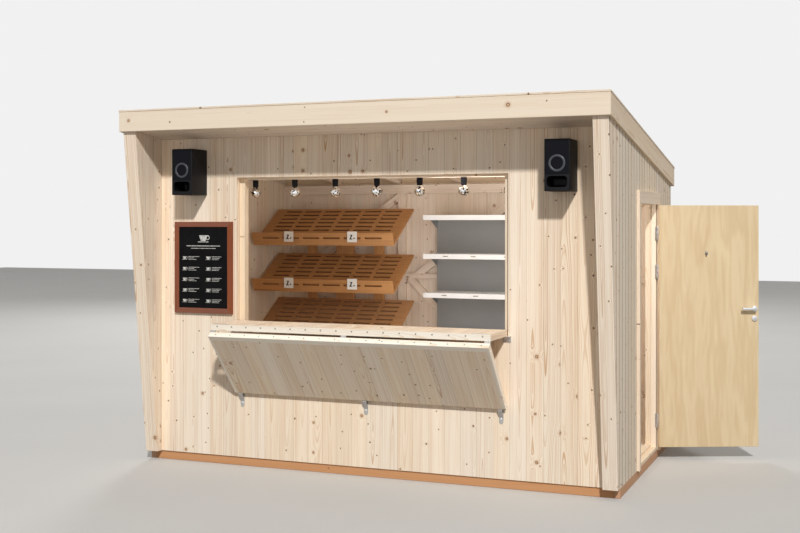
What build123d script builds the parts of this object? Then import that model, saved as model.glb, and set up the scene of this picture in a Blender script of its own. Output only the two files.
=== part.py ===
from build123d import *
import os
from math import acos, atan, cos, degrees, hypot, radians, sin, tan

os.makedirs("parts", exist_ok=True)

# A wooden market stall: a boarded kiosk with a single-slope roof that is high at the front.
# X runs to the customer's right, Y runs to the back and Z runs up, in millimetres.
# The origin is the centre of the base at ground level.

# Driving dimensions of the house
wall_width = 3720
wall_depth = 2160
front_wall_thickness = 50
side_wall_thickness = 90
bearer_height = 67
bearer_width = 45
bearer_recess = 12
floor_thickness = 20
post_width = 60
post_depth = 60

# Driving dimensions of the roof
roof_pitch = 8.33
roof_front_height = 2714
front_overhang = 393
rear_overhang = 62
cover_thickness = 14
deck_thickness = 20
rafter_depth = 95
rafter_width = 45
rafter_count = 7
soffit_thickness = 18
fascia_height = 149
fascia_thickness = 20
cover_lip = 3

# Driving dimensions of the raked wings beside the front
wing_thickness = 105
wing_foot = 63
wing_rake = 6.95

# Driving dimensions of the serving hatch
hatch_width = 2162
hatch_sill_height = 1059
hatch_head_drop = 509
hatch_rail_height = 75
post_reveal = 40
head_reveal = 15
leaf_thickness = 45
leaf_side_gap = 6
counter_depth = 385
flap_length = 609
flap_foot_gap = 5
hinge_edge_gap = 3
hinge_setback = 6
hinge_knuckle_radius = 6
hinge_pin_radius = 3
hinge_pin_side_count = 12
hinge_bore_gap = 0.3
hinge_plate_thickness = 3
hinge_plate_width = 38
door_hinge_length = 112
counter_hinge_length = 60
flap_hinge_length = 40
hinge_end_gap = 1
flap_hinge_inset = 20
counter_hinge_inset = 3
bracket_inset = 45
bracket_width = 33
bracket_thickness = 3
bracket_drop = 136
bracket_foot = 44
bracket_lip = 48
bracket_gap = 6

# Driving dimensions of the doorway in the right side
door_front_edge = -425
door_clear_width = 800
door_head_drop = 714
door_leaf_bottom = 100
door_leaf_thickness = 40
door_side_gap = 5
door_open_angle = 24
casing_width = 45
casing_head_height = 93
casing_thickness = 23
door_stop_width = 12
door_stop_depth = 42
threshold_height = 25
threshold_stop_height = 20
door_hinge_gap = 8
door_face_setback = 6.5
door_hinge_low = 200
door_hinge_plate_width = 18
door_hinges_from_head = (529, 226)
lever_from_hinge = 758
lever_height = 1184
lever_length = 100
lever_radius = 9
lever_stand_off = 48
rosette_radius = 22
rosette_thickness = 8
cylinder_drop = 77
hook_from_hinge = 374
hook_height = 1619
hook_reach = 32
hook_radius = 6
hook_plate_width = 18
hook_plate_height = 30
hook_plate_thickness = 3

# Driving dimensions of the framing on the rear wall
frame_post_width = 75
frame_depth = 45
rail_height = 80
middle_rail_height = 45
middle_rail_drop = 852
rear_post_left = 550
rear_post_right = 607
brace_width = 60
brace_inset = 80
brace_foot_height = 180

# Driving dimensions of the lamps
lamp_count = 7
lamp_end_gap = 12
lamp_board_depth = 120
lamp_board_thickness = 18
lamp_from_front = 200
socket_radius = 23
socket_height = 55
bulb_radius = 41
bulb_neck_radius = 18
bulb_side_count = 24

# Driving dimensions of the speakers and the menu board
speaker_width = 176
speaker_height = 350
speaker_depth = 230
speaker_drop = 294
speaker_left_gap = 235
speaker_right_gap = 183
menu_width = 512
menu_height = 708
menu_side_gap = 130
menu_drop = 848
menu_thickness = 24
menu_frame_width = 40
menu_panel_setback = 6

# Driving dimensions of the bread racks
rack_side_gap = 35
rack_width = 1365
rack_rear_gap = 150
rack_depth = 515
rack_rear_rise = 213
rack_board_thickness = 21
rack_lip_height = 113
rack_lip_lean = 40
rack_lip_thickness = 19
rack_lip_tops = (949, 1360, 1771)
rack_slot_columns = 6
rack_slot_rows = 7
rack_slot_length = 160
rack_slot_width = 22
rack_slot_side_margin = 105
rack_slot_row_pitch = 62
rack_slot_rear_margin = 46
rack_lip_slot_width = 16
rack_lip_slot_drop = 50
rack_upright_width = 85
rack_upright_thickness = 45
rack_upright_spacing = 337
price_tag_width = 93
price_tag_height = 97
price_tag_thickness = 2
price_tag_rise = 12
price_tag_spacing = 616

# Driving dimensions of the shelf unit
unit_left = -182
unit_width = 1142
unit_rear_gap = 40
unit_panel_thickness = 25
unit_upright_width = 25
unit_shelf_depth = 350
unit_shelf_thickness = 43
unit_shelf_count = 4
unit_top_height = 1925
unit_shelf_pitch = 337
unit_bracket_thickness = 3
unit_bracket_run = 173
unit_bracket_drop = 75

# Places worked out from the driving dimensions
half_width = wall_width / 2
front_y = -wall_depth / 2
rear_y = wall_depth / 2
inner_x = half_width - side_wall_thickness
front_inner_y = front_y + front_wall_thickness
rear_inner_y = rear_y - front_wall_thickness
floor_top = bearer_height + floor_thickness
fascia_front_y = front_y - front_overhang
fascia_rear_y = rear_y + rear_overhang
wing_inner_x = half_width - wing_thickness
rafter_top = cover_thickness + deck_thickness
wall_top = rafter_top + rafter_depth
hatch_half = hatch_width / 2
hatch_head_height = roof_front_height - hatch_head_drop
door_head_height = roof_front_height - door_head_drop


def roof_top(y):
    return roof_front_height - (y - fascia_front_y) * tan(radians(roof_pitch))


def roof_strip(y_from, y_to, top, bottom):
    return [
        (y_from, roof_top(y_from) - top),
        (y_to, roof_top(y_to) - top),
        (y_to, roof_top(y_to) - bottom),
        (y_from, roof_top(y_from) - bottom),
    ]


def wall_profile(y_from, y_to, z_from):
    return [
        (y_from, z_from),
        (y_to, z_from),
        (y_to, roof_top(y_to) - wall_top),
        (y_from, roof_top(y_from) - wall_top),
    ]


def save(builder, name):
    builder.part.label = name
    export_step(builder.part, "parts/" + name + ".step")


# Base: side bearers run past the ends of the front and rear bearers
bearer_run = wall_depth - 2 * bearer_recess

with BuildPart() as end_bearers:
    with BuildSketch(Plane.XY):
        with GridLocations(0, bearer_run - bearer_width, 1, 2):
            Rectangle(wall_width - 2 * bearer_width, bearer_width)
    extrude(amount=bearer_height)
save(end_bearers, "end_bearers")

with BuildPart() as side_bearers:
    with BuildSketch(Plane.XY):
        with GridLocations(wall_width - bearer_width, 0, 2, 1):
            Rectangle(bearer_width, bearer_run)
    extrude(amount=bearer_height)
save(side_bearers, "side_bearers")

middle_bearer_spacing = (wall_width - bearer_width) / 4
with BuildPart() as middle_bearers:
    with BuildSketch(Plane.XY):
        with GridLocations(middle_bearer_spacing, 0, 3, 1):
            Rectangle(bearer_width, bearer_run - 2 * bearer_width)
    extrude(amount=bearer_height)
save(middle_bearers, "middle_bearers")

with BuildPart() as floor:
    with BuildSketch(Plane.XY.offset(bearer_height)):
        Rectangle(2 * inner_x, rear_inner_y - front_inner_y)
    extrude(amount=floor_thickness)
save(floor, "floor")

# Front wall: four panels around the serving hatch
with BuildPart() as front_wall_lower:
    with BuildSketch(Plane.XZ.offset(-front_inner_y)):
        with Locations((0, (bearer_height + hatch_sill_height) / 2)):
            Rectangle(hatch_width, hatch_sill_height - bearer_height)
    extrude(amount=front_wall_thickness)
save(front_wall_lower, "front_wall_lower")

for side, name in ((-1, "front_wall_left"), (1, "front_wall_right")):
    panel_width = inner_x - hatch_half
    with BuildPart() as front_panel:
        with BuildSketch(Plane.YZ.offset(side * (hatch_half + panel_width / 2))):
            Polygon(*wall_profile(front_y, front_inner_y, bearer_height), align=None)
        extrude(amount=panel_width / 2, both=True)
    save(front_panel, name)

with BuildPart() as front_wall_upper:
    with BuildSketch(Plane.YZ):
        Polygon(*wall_profile(front_y, front_inner_y, hatch_head_height), align=None)
    extrude(amount=hatch_half, both=True)
save(front_wall_upper, "front_wall_upper")

# Side and rear walls: the right side is split beside and over the doorway
door_rear_edge = door_front_edge + door_clear_width
side_mid_x = half_width - side_wall_thickness / 2
side_walls = (
    ("left_wall", -1, front_y, rear_y, bearer_height),
    ("right_wall_front", 1, front_y, door_front_edge, bearer_height),
    ("right_wall_rear", 1, door_rear_edge, rear_y, bearer_height),
    ("right_wall_upper", 1, door_front_edge, door_rear_edge, door_head_height),
)
for name, side, y_from, y_to, z_from in side_walls:
    with BuildPart() as side_wall:
        with BuildSketch(Plane.YZ.offset(side * side_mid_x)):
            Polygon(*wall_profile(y_from, y_to, z_from), align=None)
        extrude(amount=side_wall_thickness / 2, both=True)
    save(side_wall, name)

with BuildPart() as rear_wall:
    with BuildSketch(Plane.YZ):
        Polygon(*wall_profile(rear_inner_y, rear_y, bearer_height), align=None)
    extrude(amount=inner_x, both=True)
save(rear_wall, "rear_wall")

# Wings: the side walls run forward past the front wall and their front edge leans out
wing_mid_x = half_width - wing_thickness / 2


def wing_edge(z):
    return front_y - wing_foot - (z - bearer_height) * tan(radians(wing_rake))


wing_lean = tan(radians(wing_rake))
roof_fall = tan(radians(roof_pitch))
wing_base_y = wing_edge(bearer_height)
wing_top_z = (
    roof_front_height - wall_top - (wing_base_y + bearer_height * wing_lean - fascia_front_y) * roof_fall
) / (1 - wing_lean * roof_fall)
with BuildPart() as wings:
    for side in (-1, 1):
        with BuildSketch(Plane.YZ.offset(side * wing_mid_x)):
            Polygon(
                (front_y, bearer_height),
                (wing_base_y, bearer_height),
                (wing_edge(wing_top_z), wing_top_z),
                (front_y, roof_top(front_y) - wall_top),
                align=None,
            )
        extrude(amount=wing_thickness / 2, both=True)
save(wings, "wings")

# Roof
rafter_front_y = fascia_front_y + fascia_thickness
rafter_rear_y = fascia_rear_y - fascia_thickness
with BuildPart() as rafters:
    rafter_pitch = (wall_width - rafter_width) / (rafter_count - 1)
    for index in range(rafter_count):
        rafter_x = -(wall_width - rafter_width) / 2 + index * rafter_pitch
        with BuildSketch(Plane.YZ.offset(rafter_x)):
            Polygon(*roof_strip(rafter_front_y, rafter_rear_y, rafter_top, wall_top), align=None)
        extrude(amount=rafter_width / 2, both=True)
save(rafters, "rafters")

with BuildPart() as soffit:
    with BuildSketch(Plane.YZ):
        soffit_bottom = wall_top + soffit_thickness
        Polygon(*roof_strip(rafter_front_y, front_y, wall_top, soffit_bottom), align=None)
    extrude(amount=wing_inner_x, both=True)
save(soffit, "soffit")

with BuildPart() as roof_deck:
    with BuildSketch(Plane.YZ):
        Polygon(*roof_strip(rafter_front_y, rafter_rear_y, cover_thickness, rafter_top), align=None)
    extrude(amount=half_width, both=True)
save(roof_deck, "roof_deck")

with BuildPart() as roof_cover:
    with BuildSketch(Plane.YZ):
        cover_front_y = fascia_front_y - cover_lip
        cover_rear_y = fascia_rear_y + cover_lip
        Polygon(*roof_strip(cover_front_y, cover_rear_y, 0, cover_thickness), align=None)
    extrude(amount=half_width + fascia_thickness + cover_lip, both=True)
save(roof_cover, "roof_cover")

fascia_bottom = cover_thickness + fascia_height
with BuildPart() as end_fascias:
    for y_from, y_to in ((fascia_front_y, rafter_front_y), (rafter_rear_y, fascia_rear_y)):
        with BuildSketch(Plane.YZ):
            Polygon(*roof_strip(y_from, y_to, cover_thickness, fascia_bottom), align=None)
        extrude(amount=half_width + fascia_thickness, both=True)
save(end_fascias, "end_fascias")

side_fascia_x = half_width + fascia_thickness / 2
with BuildPart() as side_fascias:
    for side in (-1, 1):
        with BuildSketch(Plane.YZ.offset(side * side_fascia_x)):
            side_strip = roof_strip(rafter_front_y, rafter_rear_y, cover_thickness, fascia_bottom)
            Polygon(*side_strip, align=None)
        extrude(amount=fascia_thickness / 2, both=True)
save(side_fascias, "side_fascias")

# Frame of the serving hatch, behind the front wall
post_inner_x = hatch_half - post_reveal
with BuildPart() as hatch_posts:
    for side in (-1, 1):
        with BuildSketch(Plane.YZ.offset(side * (post_inner_x + post_width / 2))):
            Polygon(
                *wall_profile(front_inner_y, front_inner_y + post_depth, floor_top), align=None
            )
        extrude(amount=post_width / 2, both=True)
save(hatch_posts, "hatch_posts")

with BuildPart() as hatch_rails:
    with BuildSketch(Plane.YZ):
        with Locations((front_inner_y, hatch_head_height - head_reveal)):
            Rectangle(post_depth, hatch_rail_height, align=(Align.MIN, Align.MIN))
        with Locations((front_inner_y, hatch_sill_height)):
            Rectangle(post_depth, hatch_rail_height, align=(Align.MIN, Align.MAX))
    extrude(amount=post_inner_x, both=True)
save(hatch_rails, "hatch_rails")

# Serving hatch: a counter shelf hinged at the sill and a flap hinged to its front edge
counter_axis_y = front_y - hinge_setback
counter_axis_z = hatch_sill_height + hinge_edge_gap
counter_rear_y = counter_axis_y - hinge_edge_gap
counter_bottom = counter_axis_z + hinge_setback
leaf_width = hatch_width - 2 * leaf_side_gap
with BuildPart() as counter_shelf:
    with BuildSketch(Plane.YZ):
        with Locations((counter_rear_y, counter_bottom)):
            Rectangle(counter_depth, leaf_thickness, align=(Align.MAX, Align.MIN))
    extrude(amount=leaf_width / 2, both=True)
save(counter_shelf, "counter_shelf")

flap_axis_y = counter_rear_y - counter_depth - hinge_edge_gap
flap_axis_z = counter_axis_z
flap_reach = front_y - flap_foot_gap - flap_axis_y
flap_far_edge = hinge_edge_gap + flap_length
flap_slope = degrees(
    acos(flap_reach / hypot(flap_far_edge, hinge_setback)) - atan(hinge_setback / flap_far_edge)
)
flap_plane = Plane(
    origin=(0, flap_axis_y, flap_axis_z),
    x_dir=(0, cos(radians(flap_slope)), -sin(radians(flap_slope))),
    z_dir=(1, 0, 0),
)
with BuildPart() as support_flap:
    with BuildSketch(flap_plane):
        with Locations((hinge_edge_gap, -hinge_setback)):
            Rectangle(flap_length, leaf_thickness, align=(Align.MIN, Align.MAX))
    extrude(amount=leaf_width / 2, both=True)
save(support_flap, "support_flap")

# Brackets on the wall that the foot of the flap rests in
bracket_spacing = leaf_width / 2 - bracket_inset
lip_near = flap_far_edge + bracket_gap
lip_wall_y = (front_y - flap_axis_y - lip_near * cos(radians(flap_slope))) / sin(radians(flap_slope))
lip_top_z = flap_axis_z - lip_near * sin(radians(flap_slope)) + lip_wall_y * cos(radians(flap_slope))
with BuildPart() as flap_brackets:
    for step in (-1, 0, 1):
        with BuildSketch(Plane.YZ.offset(step * bracket_spacing)):
            with BuildLine():
                foot_face = front_y - bracket_thickness
                lip_run = bracket_lip * sin(radians(flap_slope))
                lip_fall = bracket_lip * cos(radians(flap_slope))
                lip_thick_z = bracket_thickness / sin(radians(flap_slope))
                lip_end_y = front_y - lip_run
                lip_end_z = lip_top_z - lip_fall
                foot_bottom = lip_top_z - bracket_drop
                strap_foot = foot_bottom + bracket_foot
                strap_length = hypot(lip_run - bracket_thickness, lip_end_z - lip_thick_z - strap_foot)
                strap_thick_z = bracket_thickness * strap_length / (lip_run - bracket_thickness)
                Polyline(
                    (front_y, lip_top_z),
                    (lip_end_y, lip_end_z),
                    (lip_end_y, lip_end_z - lip_thick_z),
                    (foot_face, strap_foot),
                    (foot_face, foot_bottom),
                    (front_y, foot_bottom),
                    close=True,
                )
            make_face()
            with BuildLine():
                inner_y = front_y - bracket_thickness
                inner_top = lip_top_z - lip_thick_z - bracket_thickness * lip_fall / lip_run
                inner_low = strap_foot + strap_thick_z
                strap_slope = (lip_end_z - lip_thick_z - strap_foot) / (lip_run - bracket_thickness)
                lip_slope = lip_fall / lip_run
                inner_run = (inner_top - inner_low) / (strap_slope + lip_slope)
                Polyline(
                    (inner_y, inner_top),
                    (inner_y - inner_run, inner_top - inner_run * lip_slope),
                    (inner_y, inner_low),
                    close=True,
                )
            make_face(mode=Mode.SUBTRACT)
        extrude(amount=bracket_width / 2, both=True)
save(flap_brackets, "flap_brackets")

# Butt hinges of the hatch: the outer knuckles and the pin are on one plate
knuckle_bore_radius = hinge_pin_radius + hinge_bore_gap


def hinge_half(plane, centres, length, plate_corner, plate_size, plate_align, holds_pin):
    """One half of each butt hinge: the pin with its two end knuckles, or the middle knuckle."""
    middle_half = (length - 2 * hinge_end_gap) / 6
    with BuildPart() as half:
        for centre in centres:
            with BuildSketch(plane.offset(centre)):
                with Locations(plate_corner):
                    Rectangle(*plate_size, align=plate_align)
            extrude(amount=length / 2, both=True)
            if holds_pin:
                with BuildSketch(plane.offset(centre)):
                    Circle(hinge_knuckle_radius)
                extrude(amount=length / 2, both=True)
                with BuildSketch(plane.offset(centre)):
                    Circle(hinge_knuckle_radius + hinge_bore_gap)
                extrude(amount=middle_half + hinge_end_gap, both=True, mode=Mode.SUBTRACT)
                with BuildSketch(plane.offset(centre)):
                    RegularPolygon(hinge_pin_radius, hinge_pin_side_count)
                extrude(amount=middle_half + hinge_end_gap, both=True)
            else:
                with BuildSketch(plane.offset(centre)):
                    Circle(hinge_knuckle_radius + hinge_bore_gap)
                extrude(amount=length / 2, both=True, mode=Mode.SUBTRACT)
                with BuildSketch(plane.offset(centre)):
                    Circle(hinge_knuckle_radius)
                    with Locations(plate_corner):
                        Rectangle(*plate_size, align=plate_align)
                    RegularPolygon(
                        knuckle_bore_radius,
                        hinge_pin_side_count,
                        major_radius=False,
                        mode=Mode.SUBTRACT,
                    )
                extrude(amount=middle_half, both=True)
    return half


counter_hinge_spacing = leaf_width / 2 - counter_hinge_inset
counter_hinge_centres = [step * counter_hinge_spacing for step in (-1, 0, 1)]
flap_hinge_spacing = leaf_width / 2 - flap_hinge_inset
flap_hinge_centres = [step * flap_hinge_spacing for step in (-1, 0, 1)]
counter_axis_plane = Plane(
    origin=(0, counter_axis_y, counter_axis_z), x_dir=(0, 1, 0), z_dir=(1, 0, 0)
)
counter_hinge_plates = hinge_half(
    counter_axis_plane,
    counter_hinge_centres,
    counter_hinge_length,
    (hinge_setback, 0),
    (hinge_plate_thickness, hinge_plate_width),
    (Align.MAX, Align.MAX),
    True,
)
save(counter_hinge_plates, "counter_hinge_plates")

counter_hinge_leaves = hinge_half(
    counter_axis_plane,
    counter_hinge_centres,
    counter_hinge_length,
    (0, hinge_setback),
    (hinge_plate_width, hinge_plate_thickness),
    (Align.MAX, Align.MAX),
    False,
)
save(counter_hinge_leaves, "counter_hinge_leaves")

flap_axis_plane = Plane(origin=(0, flap_axis_y, flap_axis_z), x_dir=(0, 1, 0), z_dir=(1, 0, 0))
flap_hinge_plates = hinge_half(
    flap_axis_plane,
    flap_hinge_centres,
    flap_hinge_length,
    (0, hinge_setback),
    (hinge_plate_width, hinge_plate_thickness),
    (Align.MIN, Align.MAX),
    True,
)
save(flap_hinge_plates, "flap_hinge_plates")

flap_hinge_leaves = hinge_half(
    flap_plane,
    flap_hinge_centres,
    flap_hinge_length,
    (0, -hinge_setback),
    (hinge_plate_width, hinge_plate_thickness),
    (Align.MIN, Align.MIN),
    False,
)
save(flap_hinge_leaves, "flap_hinge_leaves")

# Doorway: casing outside, stops inside and a threshold board
with BuildPart() as door_casing_uprights:
    casing_height = door_head_height - bearer_height
    with BuildSketch(Plane.XY.offset(bearer_height)):
        with Locations((half_width, door_front_edge)):
            Rectangle(casing_thickness, casing_width, align=(Align.MIN, Align.MAX))
        with Locations((half_width, door_rear_edge + door_stop_width)):
            Rectangle(casing_thickness, casing_width, align=(Align.MIN, Align.MIN))
    extrude(amount=casing_height)
save(door_casing_uprights, "door_casing_uprights")

with BuildPart() as door_casing_head:
    casing_run = door_clear_width + door_stop_width + 2 * casing_width
    with BuildSketch(Plane.XY.offset(door_head_height)):
        with Locations((half_width, door_front_edge - casing_width)):
            Rectangle(casing_thickness, casing_run, align=(Align.MIN, Align.MIN))
    extrude(amount=casing_head_height)
save(door_casing_head, "door_casing_head")

door_axis_x = half_width + door_face_setback
door_axis_y = door_rear_edge - door_hinge_gap / 2
leaf_inner_x = half_width - door_leaf_thickness
stop_face_x = leaf_inner_x - door_side_gap
threshold_top = bearer_height + threshold_height
with BuildPart() as threshold:
    with BuildSketch(Plane.XZ.offset(-door_front_edge)):
        with BuildLine():
            Polyline(
                (inner_x, bearer_height),
                (half_width, bearer_height),
                (half_width, threshold_top),
                (stop_face_x, threshold_top),
                (stop_face_x, threshold_top + threshold_stop_height),
                (inner_x, threshold_top + threshold_stop_height),
                close=True,
            )
        make_face()
    extrude(amount=-door_clear_width)
save(threshold, "threshold")

with BuildPart() as door_stops:
    stop_bottom = threshold_top + threshold_stop_height
    with BuildSketch(Plane.XY.offset(stop_bottom)):
        with Locations((stop_face_x, door_front_edge)):
            Rectangle(door_stop_depth, door_stop_width, align=(Align.MAX, Align.MIN))
        with Locations((stop_face_x, door_rear_edge)):
            Rectangle(door_stop_depth, door_stop_width, align=(Align.MAX, Align.MAX))
    extrude(amount=door_head_height - stop_bottom)
save(door_stops, "door_stops")

# Door: open at rest, past a right angle
door_plane = Plane(
    origin=(door_axis_x, door_axis_y, door_leaf_bottom),
    x_dir=(cos(radians(door_open_angle)), sin(radians(door_open_angle)), 0),
    z_dir=(0, 0, 1),
)
door_leaf_height = door_head_height - door_side_gap - door_leaf_bottom
door_leaf_width = door_clear_width - door_hinge_gap - door_side_gap
with BuildPart() as door_leaf:
    with BuildSketch(door_plane):
        with Locations((door_hinge_gap / 2, -door_face_setback)):
            Rectangle(door_leaf_width, door_leaf_thickness, align=(Align.MIN, Align.MAX))
    extrude(amount=door_leaf_height)
save(door_leaf, "door_leaf")

# Door furniture: hinges on the rear upright, lever sets on both faces and a coat hook
door_hinge_centres = [door_hinge_low]
for drop in door_hinges_from_head:
    door_hinge_centres.append(door_head_height - drop - door_leaf_bottom)
closed_door_plane = Plane(
    origin=(door_axis_x, door_axis_y, door_leaf_bottom), x_dir=(0, 1, 0), z_dir=(0, 0, 1)
)
door_hinge_plates = hinge_half(
    closed_door_plane,
    door_hinge_centres,
    door_hinge_length,
    (door_hinge_gap / 2, 0),
    (hinge_plate_thickness, door_hinge_plate_width),
    (Align.MAX, Align.MIN),
    True,
)
save(door_hinge_plates, "door_hinge_plates")

door_hinge_leaves = hinge_half(
    door_plane,
    door_hinge_centres,
    door_hinge_length,
    (door_hinge_gap / 2, 0),
    (hinge_plate_thickness, door_hinge_plate_width),
    (Align.MAX, Align.MAX),
    False,
)
save(door_hinge_leaves, "door_hinge_leaves")

leaf_faces = ((-1, -door_face_setback - door_leaf_thickness), (1, -door_face_setback))
with BuildPart() as door_handles:
    for face_side, face_y in leaf_faces:
        lever_z = lever_height - door_leaf_bottom
        lever_plane = Plane(
            origin=door_plane.from_local_coords((lever_from_hinge, face_y, lever_z)),
            x_dir=door_plane.x_dir,
            z_dir=door_plane.y_dir * face_side,
        )
        with BuildSketch(lever_plane):
            Circle(rosette_radius)
        extrude(amount=rosette_thickness)
        with BuildSketch(lever_plane):
            Circle(lever_radius)
        extrude(amount=lever_stand_off)
        with BuildSketch(lever_plane.offset(lever_stand_off - 2 * lever_radius)):
            with Locations((-lever_length / 2, 0)):
                SlotCenterToCenter(lever_length, 2 * lever_radius)
        extrude(amount=2 * lever_radius)
        lock_plane = Plane(
            origin=door_plane.from_local_coords((lever_from_hinge, face_y, lever_z - cylinder_drop)),
            x_dir=door_plane.x_dir,
            z_dir=door_plane.y_dir * face_side,
        )
        with BuildSketch(lock_plane):
            Circle(rosette_radius)
        extrude(amount=rosette_thickness)
save(door_handles, "door_handles")

with BuildPart() as coat_hook:
    hook_plane = Plane(
        origin=door_plane.from_local_coords(
            (hook_from_hinge, -door_face_setback - door_leaf_thickness, hook_height - door_leaf_bottom)
        ),
        x_dir=door_plane.x_dir,
        z_dir=door_plane.y_dir * -1,
    )
    with BuildSketch(hook_plane):
        Rectangle(hook_plate_width, hook_plate_height)
    extrude(amount=hook_plate_thickness)
    with BuildSketch(hook_plane):
        Circle(hook_radius)
    extrude(amount=hook_reach)
save(coat_hook, "coat_hook")

# Rear wall framing that shows through the hatch: posts, two rails and braces in three bays
frame_front_y = rear_inner_y - frame_depth
rail_top = hatch_head_height
rail_bottom = rail_top - rail_height
middle_rail_bottom = rail_top - middle_rail_drop
middle_rail_top = middle_rail_bottom + middle_rail_height
corner_post_x = inner_x - frame_post_width / 2
rear_post_places = (-corner_post_x, -rear_post_left, rear_post_right, corner_post_x)
with BuildPart() as rear_posts:
    with BuildSketch(Plane.XY.offset(floor_top)):
        for post_x in rear_post_places:
            with Locations((post_x, rear_inner_y)):
                Rectangle(frame_post_width, frame_depth, align=(Align.CENTER, Align.MAX))
    extrude(amount=rail_bottom - floor_top)
save(rear_posts, "rear_posts")

with BuildPart() as rear_rail:
    with BuildSketch(Plane.XY.offset(rail_bottom)):
        with Locations((0, rear_inner_y)):
            Rectangle(2 * inner_x, frame_depth, align=(Align.CENTER, Align.MAX))
    extrude(amount=rail_height)
save(rear_rail, "rear_rail")

bays = []
for left_post, right_post in zip(rear_post_places, rear_post_places[1:]):
    bays.append((left_post + frame_post_width / 2, right_post - frame_post_width / 2))

with BuildPart() as rear_middle_rails:
    with BuildSketch(Plane.XY.offset(middle_rail_bottom)):
        for bay_left, bay_right in bays:
            with Locations((bay_left, rear_inner_y)):
                Rectangle(bay_right - bay_left, frame_depth, align=(Align.MIN, Align.MAX))
    extrude(amount=middle_rail_height)
save(rear_middle_rails, "rear_middle_rails")

lower_brace_fall = middle_rail_bottom - floor_top - brace_foot_height
upper_brace_rise = rail_bottom - middle_rail_top
with BuildPart() as rear_braces:
    for bay_left, bay_right in bays:
        upper_run = bay_right - bay_left - brace_inset
        upper_length = hypot(upper_run, upper_brace_rise)
        upper_edge_drop = brace_width * upper_length / upper_run
        upper_edge_shift = brace_width * upper_length / upper_brace_rise
        lower_run = bay_right - bay_left
        lower_length = hypot(lower_run, lower_brace_fall)
        lower_edge_shift = brace_width * lower_length / lower_brace_fall
        lower_edge_rise = brace_width * lower_length / lower_run
        with BuildSketch(Plane.XZ.offset(-rear_inner_y)):
            Polygon(
                (bay_left + brace_inset, middle_rail_top),
                (bay_right, rail_bottom),
                (bay_right, rail_bottom - upper_edge_drop),
                (bay_left + brace_inset + upper_edge_shift, middle_rail_top),
                align=None,
            )
            Polygon(
                (bay_left, middle_rail_bottom),
                (bay_left + lower_edge_shift, middle_rail_bottom),
                (bay_right, middle_rail_bottom - lower_brace_fall + lower_edge_rise),
                (bay_right, middle_rail_bottom - lower_brace_fall),
                align=None,
            )
        extrude(amount=frame_depth)
save(rear_braces, "rear_braces")

# Lamps on a board behind the head of the hatch
lamp_board_bottom = hatch_head_height - head_reveal
with BuildPart() as lamp_board:
    with BuildSketch(Plane.XY.offset(lamp_board_bottom)):
        with Locations((0, front_inner_y + post_depth)):
            lamp_board_width = 2 * (post_inner_x + post_width)
            Rectangle(lamp_board_width, lamp_board_depth, align=(Align.CENTER, Align.MIN))
    extrude(amount=lamp_board_thickness)
save(lamp_board, "lamp_board")

lamp_half_run = post_inner_x - lamp_end_gap
lamp_spacing = 2 * lamp_half_run / (lamp_count - 1)
lamp_y = front_y + lamp_from_front
lamp_places = [(-lamp_half_run + index * lamp_spacing, lamp_y) for index in range(lamp_count)]
with BuildPart() as lamp_sockets:
    with BuildSketch(Plane.XY.offset(lamp_board_bottom)):
        with Locations(*lamp_places):
            Circle(socket_radius)
    extrude(amount=-socket_height)
save(lamp_sockets, "lamp_sockets")

bulb_top = lamp_board_bottom - socket_height
bulb_centre = bulb_top - bulb_radius
bulb_rings = []
for angle in (-70, -35, 0, 35):
    ring_height = bulb_centre + bulb_radius * sin(radians(angle))
    bulb_rings.append((ring_height, bulb_radius * cos(radians(angle))))
bulb_rings.append((bulb_top, bulb_neck_radius))
with BuildPart() as lamp_bulbs:
    for lamp_place in lamp_places:
        for ring_height, ring_radius in bulb_rings:
            with BuildSketch(Plane.XY.offset(ring_height)):
                with Locations(lamp_place):
                    RegularPolygon(ring_radius, bulb_side_count)
        loft(ruled=True)
save(lamp_bulbs, "lamp_bulbs")

# Speakers on the front wall, one beside each wing
speaker_left_x = speaker_left_gap + speaker_width / 2 - wing_inner_x
speaker_right_x = wing_inner_x - speaker_right_gap - speaker_width / 2
with BuildPart() as speakers:
    with BuildSketch(Plane.XZ.offset(-front_y)):
        for speaker_x in (speaker_left_x, speaker_right_x):
            with Locations((speaker_x, roof_front_height - speaker_drop)):
                Rectangle(speaker_width, speaker_height, align=(Align.CENTER, Align.MAX))
    extrude(amount=speaker_depth)
save(speakers, "speakers")

# Menu board on the front wall
menu_x = menu_side_gap + menu_width / 2 - wing_inner_x
menu_middle = (menu_x, roof_front_height - menu_drop - menu_height / 2)
panel_width = menu_width - 2 * menu_frame_width
panel_height = menu_height - 2 * menu_frame_width
with BuildPart() as menu_frame:
    with BuildSketch(Plane.XZ.offset(-front_y)):
        with Locations(menu_middle):
            Rectangle(menu_width, menu_height)
            Rectangle(panel_width, panel_height, mode=Mode.SUBTRACT)
    extrude(amount=menu_thickness)
save(menu_frame, "menu_frame")

with BuildPart() as menu_panel:
    with BuildSketch(Plane.XZ.offset(-front_y)):
        with Locations(menu_middle):
            Rectangle(panel_width, panel_height)
    extrude(amount=menu_thickness - menu_panel_setback)
save(menu_panel, "menu_panel")

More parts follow.
